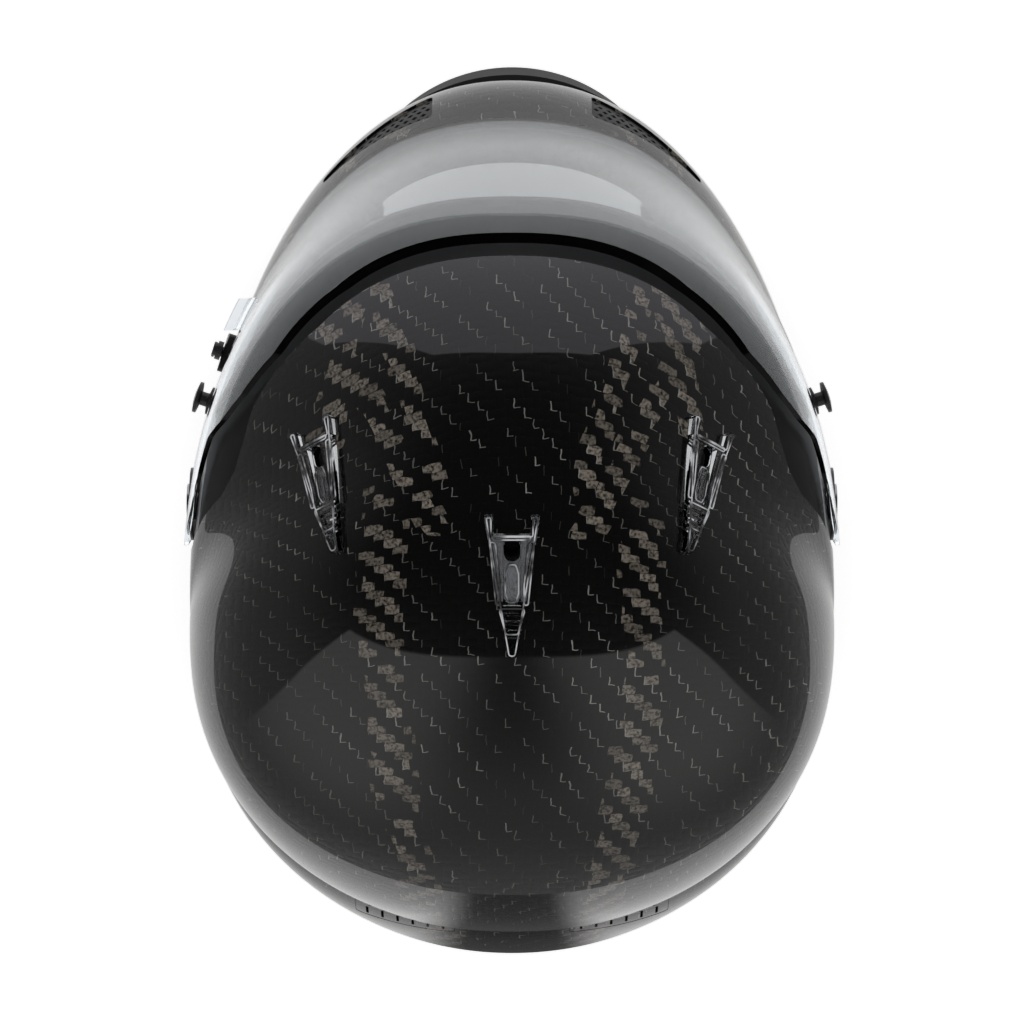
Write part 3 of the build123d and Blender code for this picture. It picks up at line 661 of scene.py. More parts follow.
def skinTree(inset, sideInset=None):
    points, faces = skinMesh(inset, sideInset)
    helper = newPiece("normalHelper", points, faces)
    helper.data.shade_smooth()
    normals = np.zeros(len(points) * 3)
    helper.data.vertices.foreach_get("normal", normals)
    tree = BVHTree.FromPolygons([tuple(p) for p in points], faces)
    bpy.data.objects.remove(helper)
    return tree, points, faces, normals.reshape(-1, 3)


def polish(piece, *trees):
    # smooth normals straight from the uncut form, so that cuts leave no dents in the gloss
    mesh = piece.data
    mesh.shade_smooth()
    mesh.set_sharp_from_angle(angle=math.radians(smoothing["sharpDegrees"]))
    normals = [Vector(n.vector) for n in mesh.corner_normals]
    near = {}
    for face in mesh.polygons:
        for loop in face.loop_indices:
            vertex = mesh.loops[loop].vertex_index
            if vertex not in near:
                at = mesh.vertices[vertex].co
                found = []
                for tree, points, faces, skinNormals in trees:
                    hit, way, index, gap = tree.find_nearest(at, smoothing["near"])
                    if index is not None:
                        total = Vector()
                        for v in faces[index]:
                            weight = 1 / ((Vector(points[v]) - at).length + smoothing["least"]) ** 2
                            total += Vector(skinNormals[v]) * weight
                        found.append(total.normalized())
                near[vertex] = found
            for smooth in near[vertex]:
                for way in (smooth, -smooth):
                    if face.normal.dot(way) > smoothing["facing"]:
                        normals[loop] = way
    mesh.normals_split_custom_set([n.to_tuple() for n in normals])


def rimPrism():
    front, flatFront, flatRear, rear = [share * helmetForm["length"] + forward for share in outlines["rim"]]
    low, rise = fits["rimHeight"], fits["rimRise"]
    points = [(front, low + rise), (flatFront, low), (flatRear, low), (rear, low + rise),
              (rear, -cutReach), (front, -cutReach)]
    radii = [0.0, fits["rimRadius"], fits["rimRadius"], 0.0, 0.0, 0.0]
    return prismMesh(roundedOutline(points, radii), lambda y, z, x: (x, y, z), -cutReach, cutReach)


def circle(radius, segments=64):
    return [(radius * math.cos(2 * math.pi * k / segments), radius * math.sin(2 * math.pi * k / segments))
            for k in range(segments)]


def hingeCylinder(side, radius, low, high):
    hingeY, hingeZ = helmetForm["hinge"]
    return prismMesh(circle(radius), lambda a, b, x: (side * x, hingeY + forward + a, hingeZ + b), low, high)


def surfaceFrame(skin, origin, direction, along):
    # where a line leaves the form: place, outward normal and the given way projected along the line
    tree, points, faces, skinNormals = skin
    origin, direction = Vector(origin), Vector(direction)
    at, normal, index, _ = tree.ray_cast(origin + direction * 0.5, -direction)
    corner = min(faces[index], key=lambda v: (Vector(points[v]) - at).length)
    normal = Vector(skinNormals[corner]).normalized()
    if normal.dot(direction) < 0:
        normal = -normal
    way = Vector(along)
    way = (way - direction * way.dot(normal) / direction.dot(normal)).normalized()
    return Matrix.Translation(at) @ Matrix((way, normal.cross(way), normal)).transposed().to_4x4()


def placed(points, matrix):
    return [(matrix @ Vector(p)).to_tuple() for p in points]


def rod(matrix, radius, low, high, segments=48):
    points, faces = prismMesh(circle(radius, segments), lambda a, b, z: (a, b, z), low, high)
    return placed(points, matrix), faces


def cutAll(piece, *tools):
    for number, tool in enumerate(tools):
        carve(piece, fixNormals(joined(f"cutter{number}", tool)))
    return piece


skins = {"outer": skinTree(0.0), "inner": skinTree(helmetForm["wall"])}
topVents = {
    "length": 0.050, "frontWidth": 0.0196, "tailWidth": 0.0032, "armWidth": 0.0032, "notch": 0.0065,
    "sliderWidth": 0.0056, "intakeLength": 0.008,
    "places": {"middle": (0.0, 0.026, 0.0), "left": (0.0654, -0.0078, 11.0),
               "right": (-0.0654, -0.0078, -11.0)},
}
ventFrames = {}
for name, (x, y, degrees) in topVents["places"].items():
    turn = math.radians(degrees)
    ventFrames[name] = surfaceFrame(skins["outer"], (x, y + forward, 0.1), (0, 0, 1),
                                    (-math.sin(turn), math.cos(turn), 0))


# bores of the tether inserts and of the strap's anchor bolts: place and radius
sideBores = [(0.062, 0.046, 0.00556), (-0.022, 0.044, 0.00306)]
boreReach, postReach = 0.018, 0.006
# where the shell's faces take the painted shade of the visor's step
stepShade = {"search": 0.0005, "gap": 0.0003, "lowest": 0.08}
hands = {1: "Left", -1: "Right"}


def sideFrame(skin, side, y, z):
    return surfaceFrame(skin, (0, y + forward, z), (side, 0, 0), (0, 1, 0))


def makeShell():
    shell = joined("carbonShell", skinMesh(0.0), skinMesh(helmetForm["wall"], flipped=True))
    step = fixNormals(joined("step", sidePrism("recess", fits["visorCorner"])))
    carve(step, fixNormals(joined("stepFloor", skinMesh(fits["recess"]))))
    carve(shell, step)
    depth = fits["recess"] + fits["plateDepth"]
    seat = fixNormals(joined("seat", sidePrism("basePlate", fits["plateCorner"], fits["seat"])))
    carve(seat, fixNormals(joined("seatFloor", skinMesh(depth))))
    carve(shell, seat)
    carve(shell, fixNormals(joined("rimTool", rimPrism())))
    carve(shell, fixNormals(joined("portTool", sidePrism("eyeport", fits["eyeportCorner"]))))
    vent = topVents
    centre = -vent["length"] / 2 + vent["notch"] + vent["intakeLength"] / 2 + vent["armWidth"] / 2
    half = vent["sliderWidth"] / 2
    straight = vent["intakeLength"] / 2 - half
    turns = np.linspace(-1.57, 1.57, 13)
    slot = [(centre + straight + half * math.cos(t), half * math.sin(t)) for t in turns]
    slot += [(centre - straight - half * math.cos(t), half * math.sin(t)) for t in turns[::-1]]
    for matrix in ventFrames.values():
        points, faces = prismMesh(slot, lambda a, b, z: (a, b, z), -0.03, 0.01)
        cutAll(shell, (placed(points, matrix), faces))
    for side in (1, -1):
        cutAll(shell, chinWindow(side), exhaustWindow(side))
        for y, z, radius in sideBores:
            cutAll(shell, rod(sideFrame(skins["outer"], side, y, z), radius, -boreReach, boreReach))
    stepSkin = skinTree(fits["recess"])
    polish(shell, skins["outer"], skins["inner"], stepSkin)
    return shell, stepSkin[0]


# openings of the chin and the rear: outlines in X and Z, cut from a little behind the middle outward
windows = {
    "chin": [(0.031, 0.0545), (0.073, 0.0705), (0.073, 0.0765), (0.031, 0.0745)],
    "exhaust": [(0.022, 0.084), (0.060, 0.084), (0.060, 0.097), (0.022, 0.097)],
    "corner": 0.002, "near": 0.07, "far": 0.35,
}
exhaust = {"depth": 0.00015, "back": 0.0026, "gap": 0.00015, "slots": 6, "firstSlot": 0.0265, "pitch": 0.0058,
           "slotHalf": 0.0005, "slotLow": 0.0860, "slotHigh": 0.0925, "slotCorner": 0.0004}


def windowMesh(points, radius, way=1, grow=0.0):
    outline = roundedOutline(points, radius, grow)
    return prismMesh(outline, lambda x, z, y: (x, way * y, z), windows["near"], windows["far"])


def chinWindow(side):
    return windowMesh([(side * x, z) for x, z in windows["chin"]], windows["corner"], -1)


def exhaustWindow(side, grow=0.0):
    return windowMesh([(side * x, z) for x, z in windows["exhaust"]], windows["corner"], 1, grow)


def exhaustInsert(side):
    # the slatted insert, its lacquered face just under the shell's surface
    hand = hands[side]
    piece = joined("exhaustInsert" + hand, skinMesh(exhaust["depth"]),
                   skinMesh(exhaust["back"], flipped=True))
    carve(piece, fixNormals(joined("window", exhaustWindow(side, -exhaust["gap"]))), "INTERSECT")
    low, high = exhaust["slotLow"], exhaust["slotHigh"]
    for k in range(exhaust["slots"]):
        x = side * (exhaust["firstSlot"] + exhaust["pitch"] * k)
        left, right = x - exhaust["slotHalf"], x + exhaust["slotHalf"]
        slot = [(left, low), (right, low), (right, high), (left, high)]
        cutAll(piece, windowMesh(slot, exhaust["slotCorner"]))
    polish(piece, skins["outer"])
    dress(piece, "carbon")
    enter(piece, "rear_exhaust_grille_" + hand.lower())


hinge = {"faceX": 0.1178, "bossRadius": 0.013, "pinRadius": 0.00606, "washerRoom": 0.0138,
         "post": (-0.041, 0.145), "postRadius": 0.00206}


def makeVisor():
    gap, thick = fits["visorGap"], fits["visorThickness"]
    sideGap, sideThick = fits["visorSideGap"], fits["visorSideThickness"]
    outer, inner = (-gap - thick, -sideGap - sideThick), (-gap, -sideGap)
    visor = joined("visorShield", skinMesh(*outer), skinMesh(*inner, flipped=True))
    carve(visor, fixNormals(joined("visorTool", sidePrism("visor", fits["visorCorner"]))), "INTERSECT")
    outerTree, innerTree = skinTree(*outer), skinTree(*inner)
    for side in (1, -1):
        boss = fixNormals(joined("boss", hingeCylinder(side, hinge["bossRadius"], 0.10, hinge["faceX"])))
        carve(boss, fixNormals(joined("bossFloor", skinMesh(0.0))))
        carve(visor, boss, "UNION")
        cutAll(visor, hingeCylinder(side, hinge["washerRoom"], hinge["faceX"], 0.2),
               hingeCylinder(side, hinge["pinRadius"], 0.05, 0.2))
        post = sideFrame(outerTree, side, *hinge["post"])
        cutAll(visor, rod(post, hinge["postRadius"], -postReach, postReach))
    polish(visor, outerTree, innerTree)
    return visor


def shadeStep(shell, stepTree):
    # painted shade: the shallow step round the visor and its wall are coloured near-black, standing in for
    # the shadow under the visor's edge
    for face in shell.data.polygons:
        hit, way, index, gap = stepTree.find_nearest(face.center, stepShade["search"])
        if index is not None and face.center.z > stepShade["lowest"] and gap < stepShade["gap"]:
            face.material_index = 1


shell, stepTree = makeShell()
dress(shell, "carbon", "stepShade")
shadeStep(shell, stepTree)
enter(shell, "shell")
print("shell made with", len(shell.data.polygons), "faces")
visor = makeVisor()
dress(visor, "visor")
enter(visor, "visor_shield", "visor")
print("visor made with", len(visor.data.polygons), "faces")

for side in hands:
    exhaustInsert(side)
print("exhaust inserts made")


# top vents: the clear frame and closure, each with raised edges that carry painted glints

ventEdges = {
    "radius": 0.00026, "height": 0.0036, "plate": 0.0021, "step": 0.0008, "inset": 0.0007,
    "frame": [[(0.0073, 0.0046), (0.0165, 0.0021), (0.0165, -0.0021), (0.0073, -0.0046)],
              [(-0.0181, 0.0066), (-0.0168, 0.0062), (-0.0168, -0.0062), (-0.0181, -0.0066)]],
    # one side's rail, mirrored for the other
    "rail": [(-0.0160, 0.0058), (-0.0010, 0.0042), (0.0060, 0.0042), (0.0060, 0.0056), (-0.0160, 0.0078)],
    "closure": [[(-0.0081, 0.0013), (-0.0048, 0.0023), (0.0019, 0.0023), (0.0051, 0.0013),
                 (0.0051, -0.0013), (0.0019, -0.0023), (-0.0048, -0.0023), (-0.0081, -0.0013)]],
}


def beadMesh(path, ups, radius):
    # a thin closed tube
    count, points, faces = len(path), [], []
    for k, at in enumerate(path):
        way = (path[(k + 1) % count] - path[k - 1]).normalized()
        side = way.cross(ups[k]).normalized()
        up = side.cross(way)
        for j in range(6):
            turn = math.pi * j / 3
            points.append(at + side * radius * math.cos(turn) + up * radius * math.sin(turn))
    for k in range(count):
        n = (k + 1) % count
        faces += [(k * 6 + j, k * 6 + (j + 1) % 6, n * 6 + (j + 1) % 6, n * 6 + j) for j in range(6)]
    return [tuple(p) for p in points], faces


def evenLoop(points, step):
    # a closed outline cut into short, equal bits
    dense = []
    for a, b in zip(points, points[1:] + points[:1]):
        a, b = Vector(a), Vector(b)
        many = max(1, round((b - a).length / step))
        dense += [a.lerp(b, j / many) for j in range(many)]
    return dense


def secondFinish(piece, count):
    # faces after the first ones take the second material
    for face in piece.data.polygons:
        face.material_index = int(face.index >= count)


def edgedPiece(name, node, body, loops, lift):
    # the solid's own form with raised edges, lift places a flat point in space with its normal
    source = nodes[node].data
    parts = [(meshPoints(source), [tuple(f.vertices) for f in source.polygons])]
    for loop in loops:
        spots = [lift(*point) for point in evenLoop(loop, ventEdges["step"])]
        parts.append(beadMesh([at for at, up in spots], [up for at, up in spots], ventEdges["radius"]))
    piece = joined(name, *parts)
    piece.data.shade_smooth()
    piece.data.set_sharp_from_angle(angle=math.radians(25))
    dress(piece, "vent", "edge")
    secondFinish(piece, len(parts[0][1]))
    enter(piece, node, body)


def makeVent(name, topSkin):
    matrix = ventFrames[name]
    normal = (matrix.to_3x3() @ Vector((0, 0, 1))).normalized()
    start, end = -topVents["length"] / 2, topVents["length"] / 2
    front, tail = topVents["frontWidth"] / 2, topVents["tailWidth"] / 2
    arm = front - topVents["armWidth"]
    notch = start + topVents["notch"]
    outline = [(start, front), (start, arm), (notch, arm), (notch, -arm), (start, -arm), (start, -front),
               (end, -tail), (end, tail)]

    def onTop(a, b):
        origin = matrix @ Vector((a, b, 0.02))
        at, up, index, gap = topSkin.ray_cast(origin, -normal)
        return at, up if up.dot(normal) > 0 else -up

    def onPlate(a, b):
        return matrix @ Vector((a, b, ventEdges["plate"])), normal

    loops = [roundedOutline(outline, 0.0009, -ventEdges["inset"])]
    rails = [[(a, side * b) for a, b in ventEdges["rail"]] for side in hands]
    loops += [roundedOutline(loop, 0.0010) for loop in ventEdges["frame"] + rails]
    edgedPiece("ventFrame" + name.capitalize(), "top_vent_frame_" + name, "helmet_shell", loops, onTop)
    loops = [roundedOutline(loop, 0.0008) for loop in ventEdges["closure"]]
    edgedPiece("ventClosure" + name.capitalize(), "top_vent_slider_" + name, "vent_slider_" + name,
               loops, onPlate)


# cushions: each starts inside its solid, swells as cloth, and is kept inside the solid's space

pads = {
    "crownCushion": {"node": "crown_pad", "voxel": 0.005, "start": 0.0022, "fill": 0.55, "seam": 0.0040,
                     "innerSkin": 0.0368, "channels": [("x", 0.030), ("x", -0.030), ("y", 0.020)]},
    "cheekCushionLeft": {"node": "cheek_pad_left", "voxel": 0.005, "start": 0.0026, "fill": 0.65,
                         "seam": 0.0050, "innerSkin": 0.0468, "channels": [("z", 0.070)]},
    "cheekCushionRight": {"node": "cheek_pad_right", "voxel": 0.005, "start": 0.0026, "fill": 0.65,
                          "seam": 0.0050, "innerSkin": 0.0468, "channels": [("z", 0.070)]},
    "neckCushion": {"node": "neck_roll", "voxel": 0.005, "start": 0.0022, "fill": 0.6, "seam": 0.0050,
                    "innerSkin": 0.0274, "channels": [("x", 0.045), ("x", -0.045), ("x", 0.0)]},
}
padSwell = {"pressure": 4.0, "frames": 20, "cap": 0.006, "margin": 0.0003, "seamDepth": 0.0012,
            "seamWidth": 0.0016, "channelDepth": 0.0022, "channelWidth": 0.0028}


def meshPoints(mesh):
    values = np.zeros(len(mesh.vertices) * 3)
    mesh.vertices.foreach_get("co", values)
    return values.reshape(-1, 3)


def treeOf(mesh):
    return BVHTree.FromPolygons([v.co for v in mesh.vertices], [f.vertices for f in mesh.polygons])


def applied(piece):
    bpy.context.view_layer.update()
    result = bpy.data.meshes.new_from_object(piece.evaluated_get(bpy.context.evaluated_depsgraph_get()))
    piece.modifiers.clear()
    old, name = piece.data, piece.data.name
    piece.data = result
    bpy.data.meshes.remove(old)
    result.name = name


def moveVertices(piece, points):
    piece.data.vertices.foreach_set("co", np.asarray(points).ravel())
    piece.data.update()


def vertexNormals(piece):
    values = np.zeros(len(piece.data.vertices) * 3)
    piece.data.vertices.foreach_get("normal", values)
    return values.reshape(-1, 3)


def keepInside(points, solidTree, margin):
    kept = []
    for point in points:
        at = Vector(point)
        hit, way, index, gap = solidTree.find_nearest(at)
        if (at - hit).dot(way) > -margin:
            at = hit - way * margin
        kept.append(at)
    return np.array(kept)


def swell(piece):
    # a few frames of cloth under pressure, applied at once
    before = meshPoints(piece.data)
    cloth = piece.modifiers.new("swell", "CLOTH")
    cloth.settings.use_pressure = True
    cloth.settings.uniform_pressure_force = padSwell["pressure"]
    cloth.settings.effector_weights.gravity = 0.0
    cloth.point_cache.frame_start, cloth.point_cache.frame_end = 1, padSwell["frames"]
    for number in range(1, padSwell["frames"] + 1):
        bpy.context.scene.frame_set(number)
    applied(piece)
    bpy.context.scene.frame_set(1)
    move = meshPoints(piece.data) - before
    reach = np.linalg.norm(move, axis=1, keepdims=True)
    moveVertices(piece, before + move * np.minimum(1.0, padSwell["cap"] / np.maximum(reach, 1e-9)))


def makeCushion(name, facts):
    source = nodes[facts["node"]].data
    solidTree = treeOf(source)
    piece = newPiece(name, meshPoints(source), [tuple(f.vertices) for f in source.polygons])
    remesh = piece.modifiers.new("even", "REMESH")
    remesh.mode = "VOXEL"
    remesh.voxel_size = facts["voxel"]
    applied(piece)
    smooth = piece.modifiers.new("soften", "SMOOTH")
    smooth.iterations = 6
    applied(piece)
    moveVertices(piece, meshPoints(piece.data) - vertexNormals(piece) * facts["start"])
    swell(piece)
    finer = piece.modifiers.new("finer", "SUBSURF")
    finer.levels = 1
    applied(piece)
    inner = skinTree(facts["innerSkin"])[0]
    points, normals = keepInside(meshPoints(piece.data), solidTree, padSwell["margin"]), vertexNormals(piece)
    press = np.zeros(len(points))
    for k, point in enumerate(points):
        gap = inner.find_nearest(Vector(point))[3]
        press[k] = padSwell["seamDepth"] * math.exp(-((gap - facts["seam"]) / padSwell["seamWidth"]) ** 2)
        if gap < 0.8 * facts["seam"]:
            for axis, place in facts["channels"]:
                away = (point["xyz".index(axis)] - place) / padSwell["channelWidth"]
                press[k] = max(press[k], padSwell["channelDepth"] * math.exp(-away ** 2))
    moveVertices(piece, points - normals * press[:, None])
    piece.data.shade_smooth()
    dress(piece, "knit")
    enter(piece, facts["node"])
    print(name, "made with", len(piece.data.polygons), "faces")


ventTop = skinTree(-ventEdges["height"])[0]
for name in ventFrames:
    makeVent(name, ventTop)
print("vents made")
for name, facts in pads.items():
    makeCushion(name, facts)


# chin straps: flat webbing with rounded selvedges and sewn ends

strap = {
    "y": -0.022, "width": 0.0196, "thickness": 0.0017, "anchorTop": 0.0495, "foot": 0.022, "low": 0.00755,
    "endX": 0.030, "bend": 0.009, "loopX": 0.0269, "loopRadius": 0.0031, "loopHalf": 0.00195,
    "stitch": 0.0026, "stitchGap": 0.0012, "stitchRadius": 0.00028,
    # the corners below the anchor, the sewn lengths from the ring's end and by the bend, the rows
    "lean": 0.004, "turn": 0.015, "rise": 0.002, "sewnEnd": (0.026, 0.004), "sewnBend": (0.016, 0.030),
    "rows": (-0.36, -0.12, 0.12, 0.36), "margin": 0.00008,
}


def ribbonMesh(path, closed=False):
    # a flat oval section carried along a line in the XZ plane
    half, thick = strap["width"] / 2, strap["thickness"] / 2
    section = []
    for k in range(28):
        turn = 2 * math.pi * k / 28
        a, b = math.cos(turn), math.sin(turn)
        section.append((half * math.copysign(abs(a) ** 0.35, a), thick * math.copysign(abs(b) ** 0.6, b)))
    count, many = len(path), len(section)
    points, faces = [], []
    for k, at in enumerate(path):
        before = path[k - 1] if k or closed else at
        after = path[(k + 1) % count] if k < count - 1 or closed else at
        way = (Vector(after) - Vector(before)).normalized()
        side = Vector((-way.y, way.x))
        for y, out in section:
            points.append((at[0] + side.x * out, strap["y"] + forward + y, at[1] + side.y * out))
    for k in range(count if closed else count - 1):
        n = (k + 1) % count
        for j in range(many):
            i = (j + 1) % many
            faces.append((k * many + j, n * many + j, n * many + i, k * many + i))
    if not closed:
        faces += [tuple(range(many)), tuple(range((count - 1) * many, count * many))[::-1]]
    return points, faces


def roundedPath(corners, radius, step=0.0015):
    path = [Vector(corners[0])]
    for k in range(1, len(corners) - 1):
        corner, before, after = [Vector(corners[j]) for j in (k, k - 1, k + 1)]
        a, b = (before - corner), (after - corner)
        run = min(radius / math.tan(a.angle(b) / 2), 0.45 * a.length, 0.45 * b.length)
        start, end = corner + a.normalized() * run, corner + b.normalized() * run
        for t in np.linspace(0, 1, 9):
            path.append(start * (1 - t) ** 2 + corner * 2 * t * (1 - t) + end * t ** 2)
    path.append(Vector(corners[-1]))
    dense = []
    for a, b in zip(path, path[1:]):
        many = max(1, int((b - a).length / step))
        dense += [a.lerp(b, j / many) for j in range(many)]
    return dense + [path[-1]]


def stitchMesh(path, start, end, row):
    # short raised stitches along the webbing's face
    lengths = np.cumsum([0.0] + [(b - a).length for a, b in zip(path, path[1:])])
    points, faces, place = [], [], start
    while place + strap["stitch"] < end:
        ends = []
        for value in (place, place + strap["stitch"]):
            k = min(int(np.searchsorted(lengths, value)), len(path) - 1)
            way = (path[k] - path[k - 1]).normalized()
            out = Vector((-way.y, way.x)) * (strap["thickness"] / 2)
            ends.append((path[k] + out, path[k] - out))
        for face in (0, 1):
            a, b = ends[0][face], ends[1][face]
            first = len(points)
            for x, z in (a, b):
                for k in range(6):
                    turn = math.pi * k / 3
                    points.append((x + strap["stitchRadius"] * math.cos(turn) * 0.7,
                                   row + strap["stitchRadius"] * math.sin(turn),
                                   z + strap["stitchRadius"] * math.cos(turn) * 0.7))
            for k in range(6):
                n = (k + 1) % 6
                faces.append((first + k, first + n, first + 6 + n, first + 6 + k))
            faces += [tuple(range(first, first + 6))[::-1], tuple(range(first + 6, first + 12))]
        place += strap["stitch"] + strap["stitchGap"]
    return points, faces


def makeStrap(side):
    node = "chin_strap_" + hands[side].lower()
    low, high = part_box(node)
    top = max(abs(low.x), abs(high.x)) - 0.001
    corners = [(top, strap["anchorTop"]), (top - strap["lean"], strap["foot"]),
               (top - strap["turn"], strap["low"] + strap["rise"]), (strap["endX"], strap["low"])]
    path = roundedPath(corners, strap["bend"])
    total = sum((b - a).length for a, b in zip(path, path[1:]))
    parts = [ribbonMesh(path)]
    if side > 0:
        loop = []
        for k in range(40):
            turn = 2 * math.pi * k / 40
            height = math.sin(turn)
            rise = math.copysign(strap["loopHalf"], height) if abs(height) > 1e-6 else 0.0
            loop.append(Vector((strap["loopX"] + strap["loopRadius"] * math.cos(turn),
                                strap["low"] + rise + strap["loopRadius"] * height)))
        parts.append(ribbonMesh(loop, True))
    rows = [strap["y"] + forward + share * strap["width"] for share in strap["rows"]]
    start, end = [total - back for back in strap["sewnEnd"]]
    stitches = [stitchMesh(path, start, end, row) for row in rows]
    stitches += [stitchMesh(path, *strap["sewnBend"], row) for row in rows]
    count = sum(len(faces) for points, faces in parts)
    piece = joined("chinStrap" + hands[side], *parts, *stitches)
    solidTree = treeOf(nodes[node].data)
    points = meshPoints(piece.data) * (side, 1.0, 1.0)
    moveVertices(piece, keepInside(points, solidTree, strap["margin"]))
    fixNormals(piece)
    piece.data.shade_smooth()
    dress(piece, "webbing", "thread")
    secondFinish(piece, count)
    enter(piece, node)


for side in hands:
    makeStrap(side)
print("chin straps made")


# studio: camera straight above, one softbox ahead, a larger one behind, a pale table

studio = {
    "cameraHeight": 1.9, "lens": 165.97, "sensor": 36.0,
    "ambient": 0.42, "glossAmbient": 0.015, "glossHorizon": 0.22, "horizonFade": (0.05, 0.75),
    "backdropEdge": (0.30, 0.45), "fillHeight": 2.3, "fillSize": 1.8, "fillRadiance": 2.0,
    # the softboxes as the gloss sees them, angles in degrees from straight up and from straight behind
    "rearTop": 38.7, "rearTopFall": 18.0, "rearTopPower": 2.2, "rearHalf": 67.0, "rearRadiance": 0.74,
    "rearEdge": 1.2, "rearFade": (72.0, 114.0), "rearGap": 17.0, "rearGapDepth": 0.86,
    "frontTop": 0.70, "frontBottom": -0.40, "frontHalf": 1.42, "frontSlope": 1.02, "frontRadiance": 0.80,
    "warmWhite": (1.0, 0.995, 0.985), "coolWhite": (0.95, 0.94, 1.0),
}
table = {
    "radius": 0.37, "level": -0.0002, "color": (0.86, 0.86, 0.86), "roughness": 0.6, "lift": 0.62,
    "gloss": 0.25, "shadeDistance": 0.25, "shadeRange": (0.04, 0.32), "shadeColor": (0.02, 0.02, 0.022),
    "darkReflectionHalf": 0.05, "darkReflectionStart": 0.08, "darkReflectionDepth": 0.9,
}


def makeCamera():
    data = bpy.data.cameras.new("topCamera")
    data.lens = studio["lens"]
    data.sensor_width = studio["sensor"]
    camera = bpy.data.objects.new("topCamera", data)
    bpy.context.scene.collection.objects.link(camera)
    camera.location = (0.0, forward, studio["cameraHeight"])
    camera.rotation_euler = (0.0, 0.0, math.pi)
    bpy.context.scene.camera = camera


def makeFill():
    # broad light from above that the gloss doesn't show
    data = bpy.data.lights.new("fillLight", "AREA")
    data.shape = "SQUARE"
    data.size = studio["fillSize"]
    data.energy = studio["fillRadiance"] * math.pi * studio["fillSize"] ** 2
    light = bpy.data.objects.new("fillLight", data)
    bpy.context.scene.collection.objects.link(light)
    light.location = (0.0, 0.0, studio["fillHeight"])
    light.visible_glossy = False


def makeTable():
    facts = table
    material, tree, shader = newMaterial("paleTable", Roughness=facts["roughness"])
    grain = placeGroup(tree, grainGroup, Grain=60.0, Wear=3.0)
    # painted shadow: occlusion darkens the floor's colour under the helmet, and its glow also where the visor
    # shows it
    shade, outputs = outputsOf(tree, "ShaderNodeAmbientOcclusion")
    shade.samples = 4
    shade.inputs["Distance"].default_value = facts["shadeDistance"]
    bare = outputs["AO"]
    tone = mixColor(grain["Smudge"], facts["color"], tuple(0.98 * c for c in facts["color"]))
    feed(shader["Base Color"], mixColor(rising(bare, *facts["shadeRange"]), facts["shadeColor"], tone))
    path = outputsOf(tree, "ShaderNodeLightPath")[1]
    glow = tree.nodes.new("ShaderNodeEmission")
    seen = bare * path["Is Transmission Ray"] + path["Is Camera Ray"]
    feed(glow.inputs["Strength"], path["Is Glossy Ray"] * facts["gloss"] + seen * facts["lift"])
    both = tree.nodes.new("ShaderNodeAddShader")
    output = next(n for n in tree.nodes if n.type == "OUTPUT_MATERIAL")
    plain = next(n for n in tree.nodes if n.type == "BSDF_PRINCIPLED")
    tree.links.new(plain.outputs[0], both.inputs[0])
    tree.links.new(glow.outputs[0], both.inputs[1])
    # painted dark reflection: for glossy rays a strip of floor behind the helmet turns black, so the shell's
    # rear reflects a dark band
    x, y, z = split(coordinates(tree))
    darkReflection = falling(abs(x), 0.4 * facts["darkReflectionHalf"], facts["darkReflectionHalf"]) * (y > facts["darkReflectionStart"])
    black = tree.nodes.new("ShaderNodeEmission")
    black.inputs["Strength"].default_value = 0.0
    choice = tree.nodes.new("ShaderNodeMixShader")
    feed(choice.inputs[0], darkReflection * path["Is Glossy Ray"] * facts["darkReflectionDepth"])
    tree.links.new(both.outputs[0], choice.inputs[1])
    tree.links.new(black.outputs[0], choice.inputs[2])
    tree.links.new(choice.outputs[0], output.inputs[0])
    mesh = bpy.data.meshes.new("paleTable")
    form = bmesh.new()
    bmesh.ops.create_circle(form, cap_ends=True, radius=facts["radius"], segments=96)
    form.to_mesh(mesh)
    form.free()
    piece = bpy.data.objects.new("paleTable", mesh)
    bpy.context.scene.collection.objects.link(piece)
    piece.location.z = facts["level"]
    piece.data.materials.append(material)


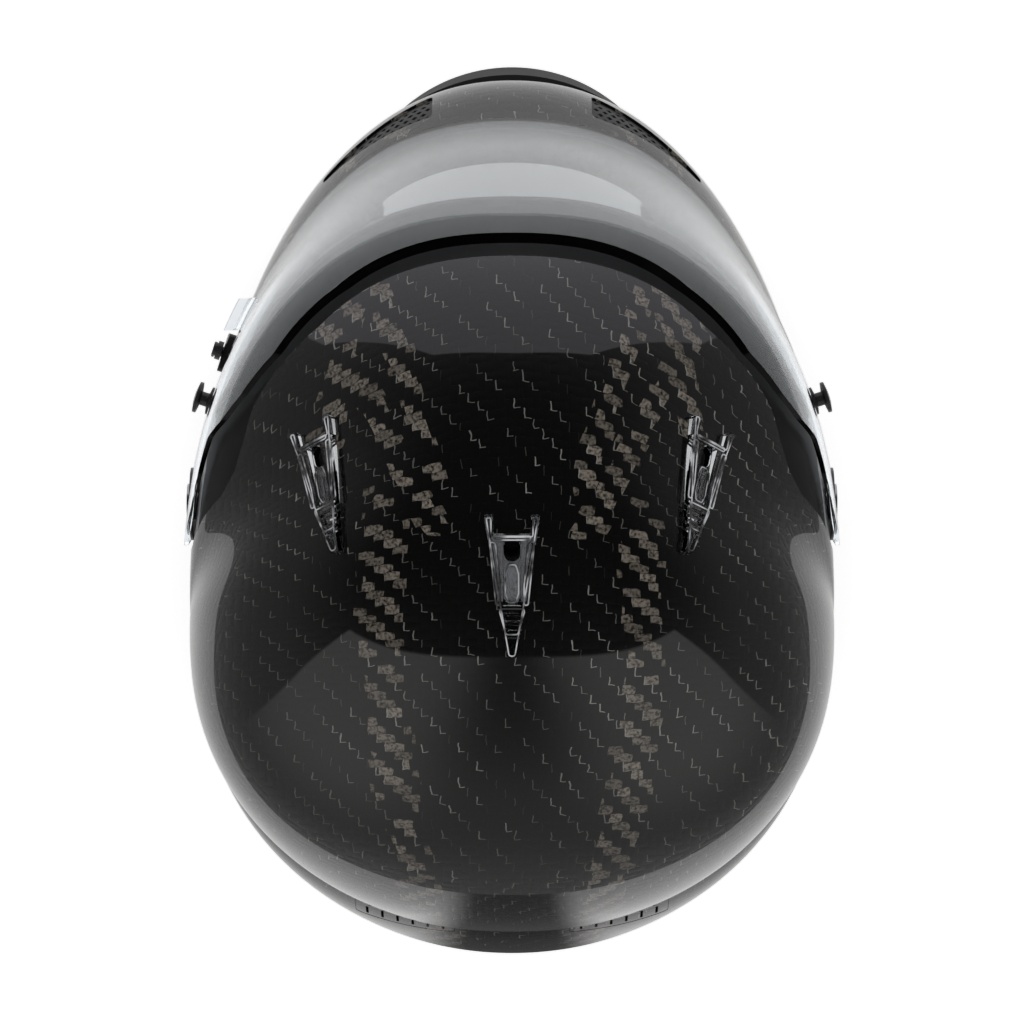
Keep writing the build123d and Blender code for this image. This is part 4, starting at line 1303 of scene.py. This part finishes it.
def softboxMask(tree):
    facts = studio
    x, y, z = split(coordinates(tree, "Generated"))
    side = abs(x)
    zenith = z.math("ARCCOSINE").math("DEGREES")
    turn = side.math("ARCTAN2", y).math("DEGREES")
    # behind: tall, wide, its top edge bowed, with a dark stand in front of its middle
    share = turn / facts["rearHalf"]
    top = share.math("POWER", facts["rearTopPower"]) * facts["rearTopFall"] + facts["rearTop"]
    gap = (turn / facts["rearGap"]).math("POWER", 2.0) * -1.0
    gap = gap.math("EXPONENT") * facts["rearGapDepth"]
    rear = rising(zenith - top, 0.0, facts["rearEdge"]) * falling(share, 0.98, 1.0)
    rear = rear * falling(zenith, *facts["rearFade"]) * (1.0 - gap)
    # ahead: a low box with cut corners
    ahead = (y * -1.0).math("MAXIMUM", 0.001)
    high, wide = z / ahead, side / ahead
    limit = high.math("MAXIMUM", 0.0) * -facts["frontSlope"] + facts["frontHalf"]
    front = falling(high, facts["frontTop"] - 0.02, facts["frontTop"])
    front = front * rising(high, facts["frontBottom"], facts["frontBottom"] + 0.04)
    return rear, front * falling(wide - limit, -0.04, 0.0)


def makeWorld():
    facts = studio
    world = bpy.data.worlds.new("studioRoom")
    world.use_nodes = True
    tree = world.node_tree
    tree.nodes.clear()
    output = tree.nodes.new("ShaderNodeOutputWorld")
    glow = tree.nodes.new("ShaderNodeBackground")
    path = outputsOf(tree, "ShaderNodeLightPath")[1]
    rear, front = softboxMask(tree)
    z = split(coordinates(tree, "Generated"))[2]
    # through the clear pieces the backdrop is pale, but the room above them stays the studio's
    through = path["Is Transmission Ray"]
    seen = path["Is Camera Ray"].math("MAXIMUM", through * falling(z, *facts["backdropEdge"]))
    shiny = path["Is Glossy Ray"].math("MAXIMUM", through)
    room = falling(z, *facts["horizonFade"]) * facts["glossHorizon"] + facts["glossAmbient"]
    room = room * (1.0 - rear.math("MAXIMUM", front))
    boxes = front * facts["frontRadiance"] + rear * facts["rearRadiance"] + room
    unseen = mixValue(shiny, facts["ambient"], boxes)
    feed(glow.inputs["Strength"], mixValue(seen, unseen, 1.0))
    feed(glow.inputs["Color"], mixColor(front, facts["warmWhite"], facts["coolWhite"]))
    tree.links.new(glow.outputs[0], output.inputs[0])
    bpy.context.scene.world = world


makeCamera()
makeFill()
makeTable()
makeWorld()
bpy.context.scene.view_settings.view_transform = "Standard"
print("studio set")
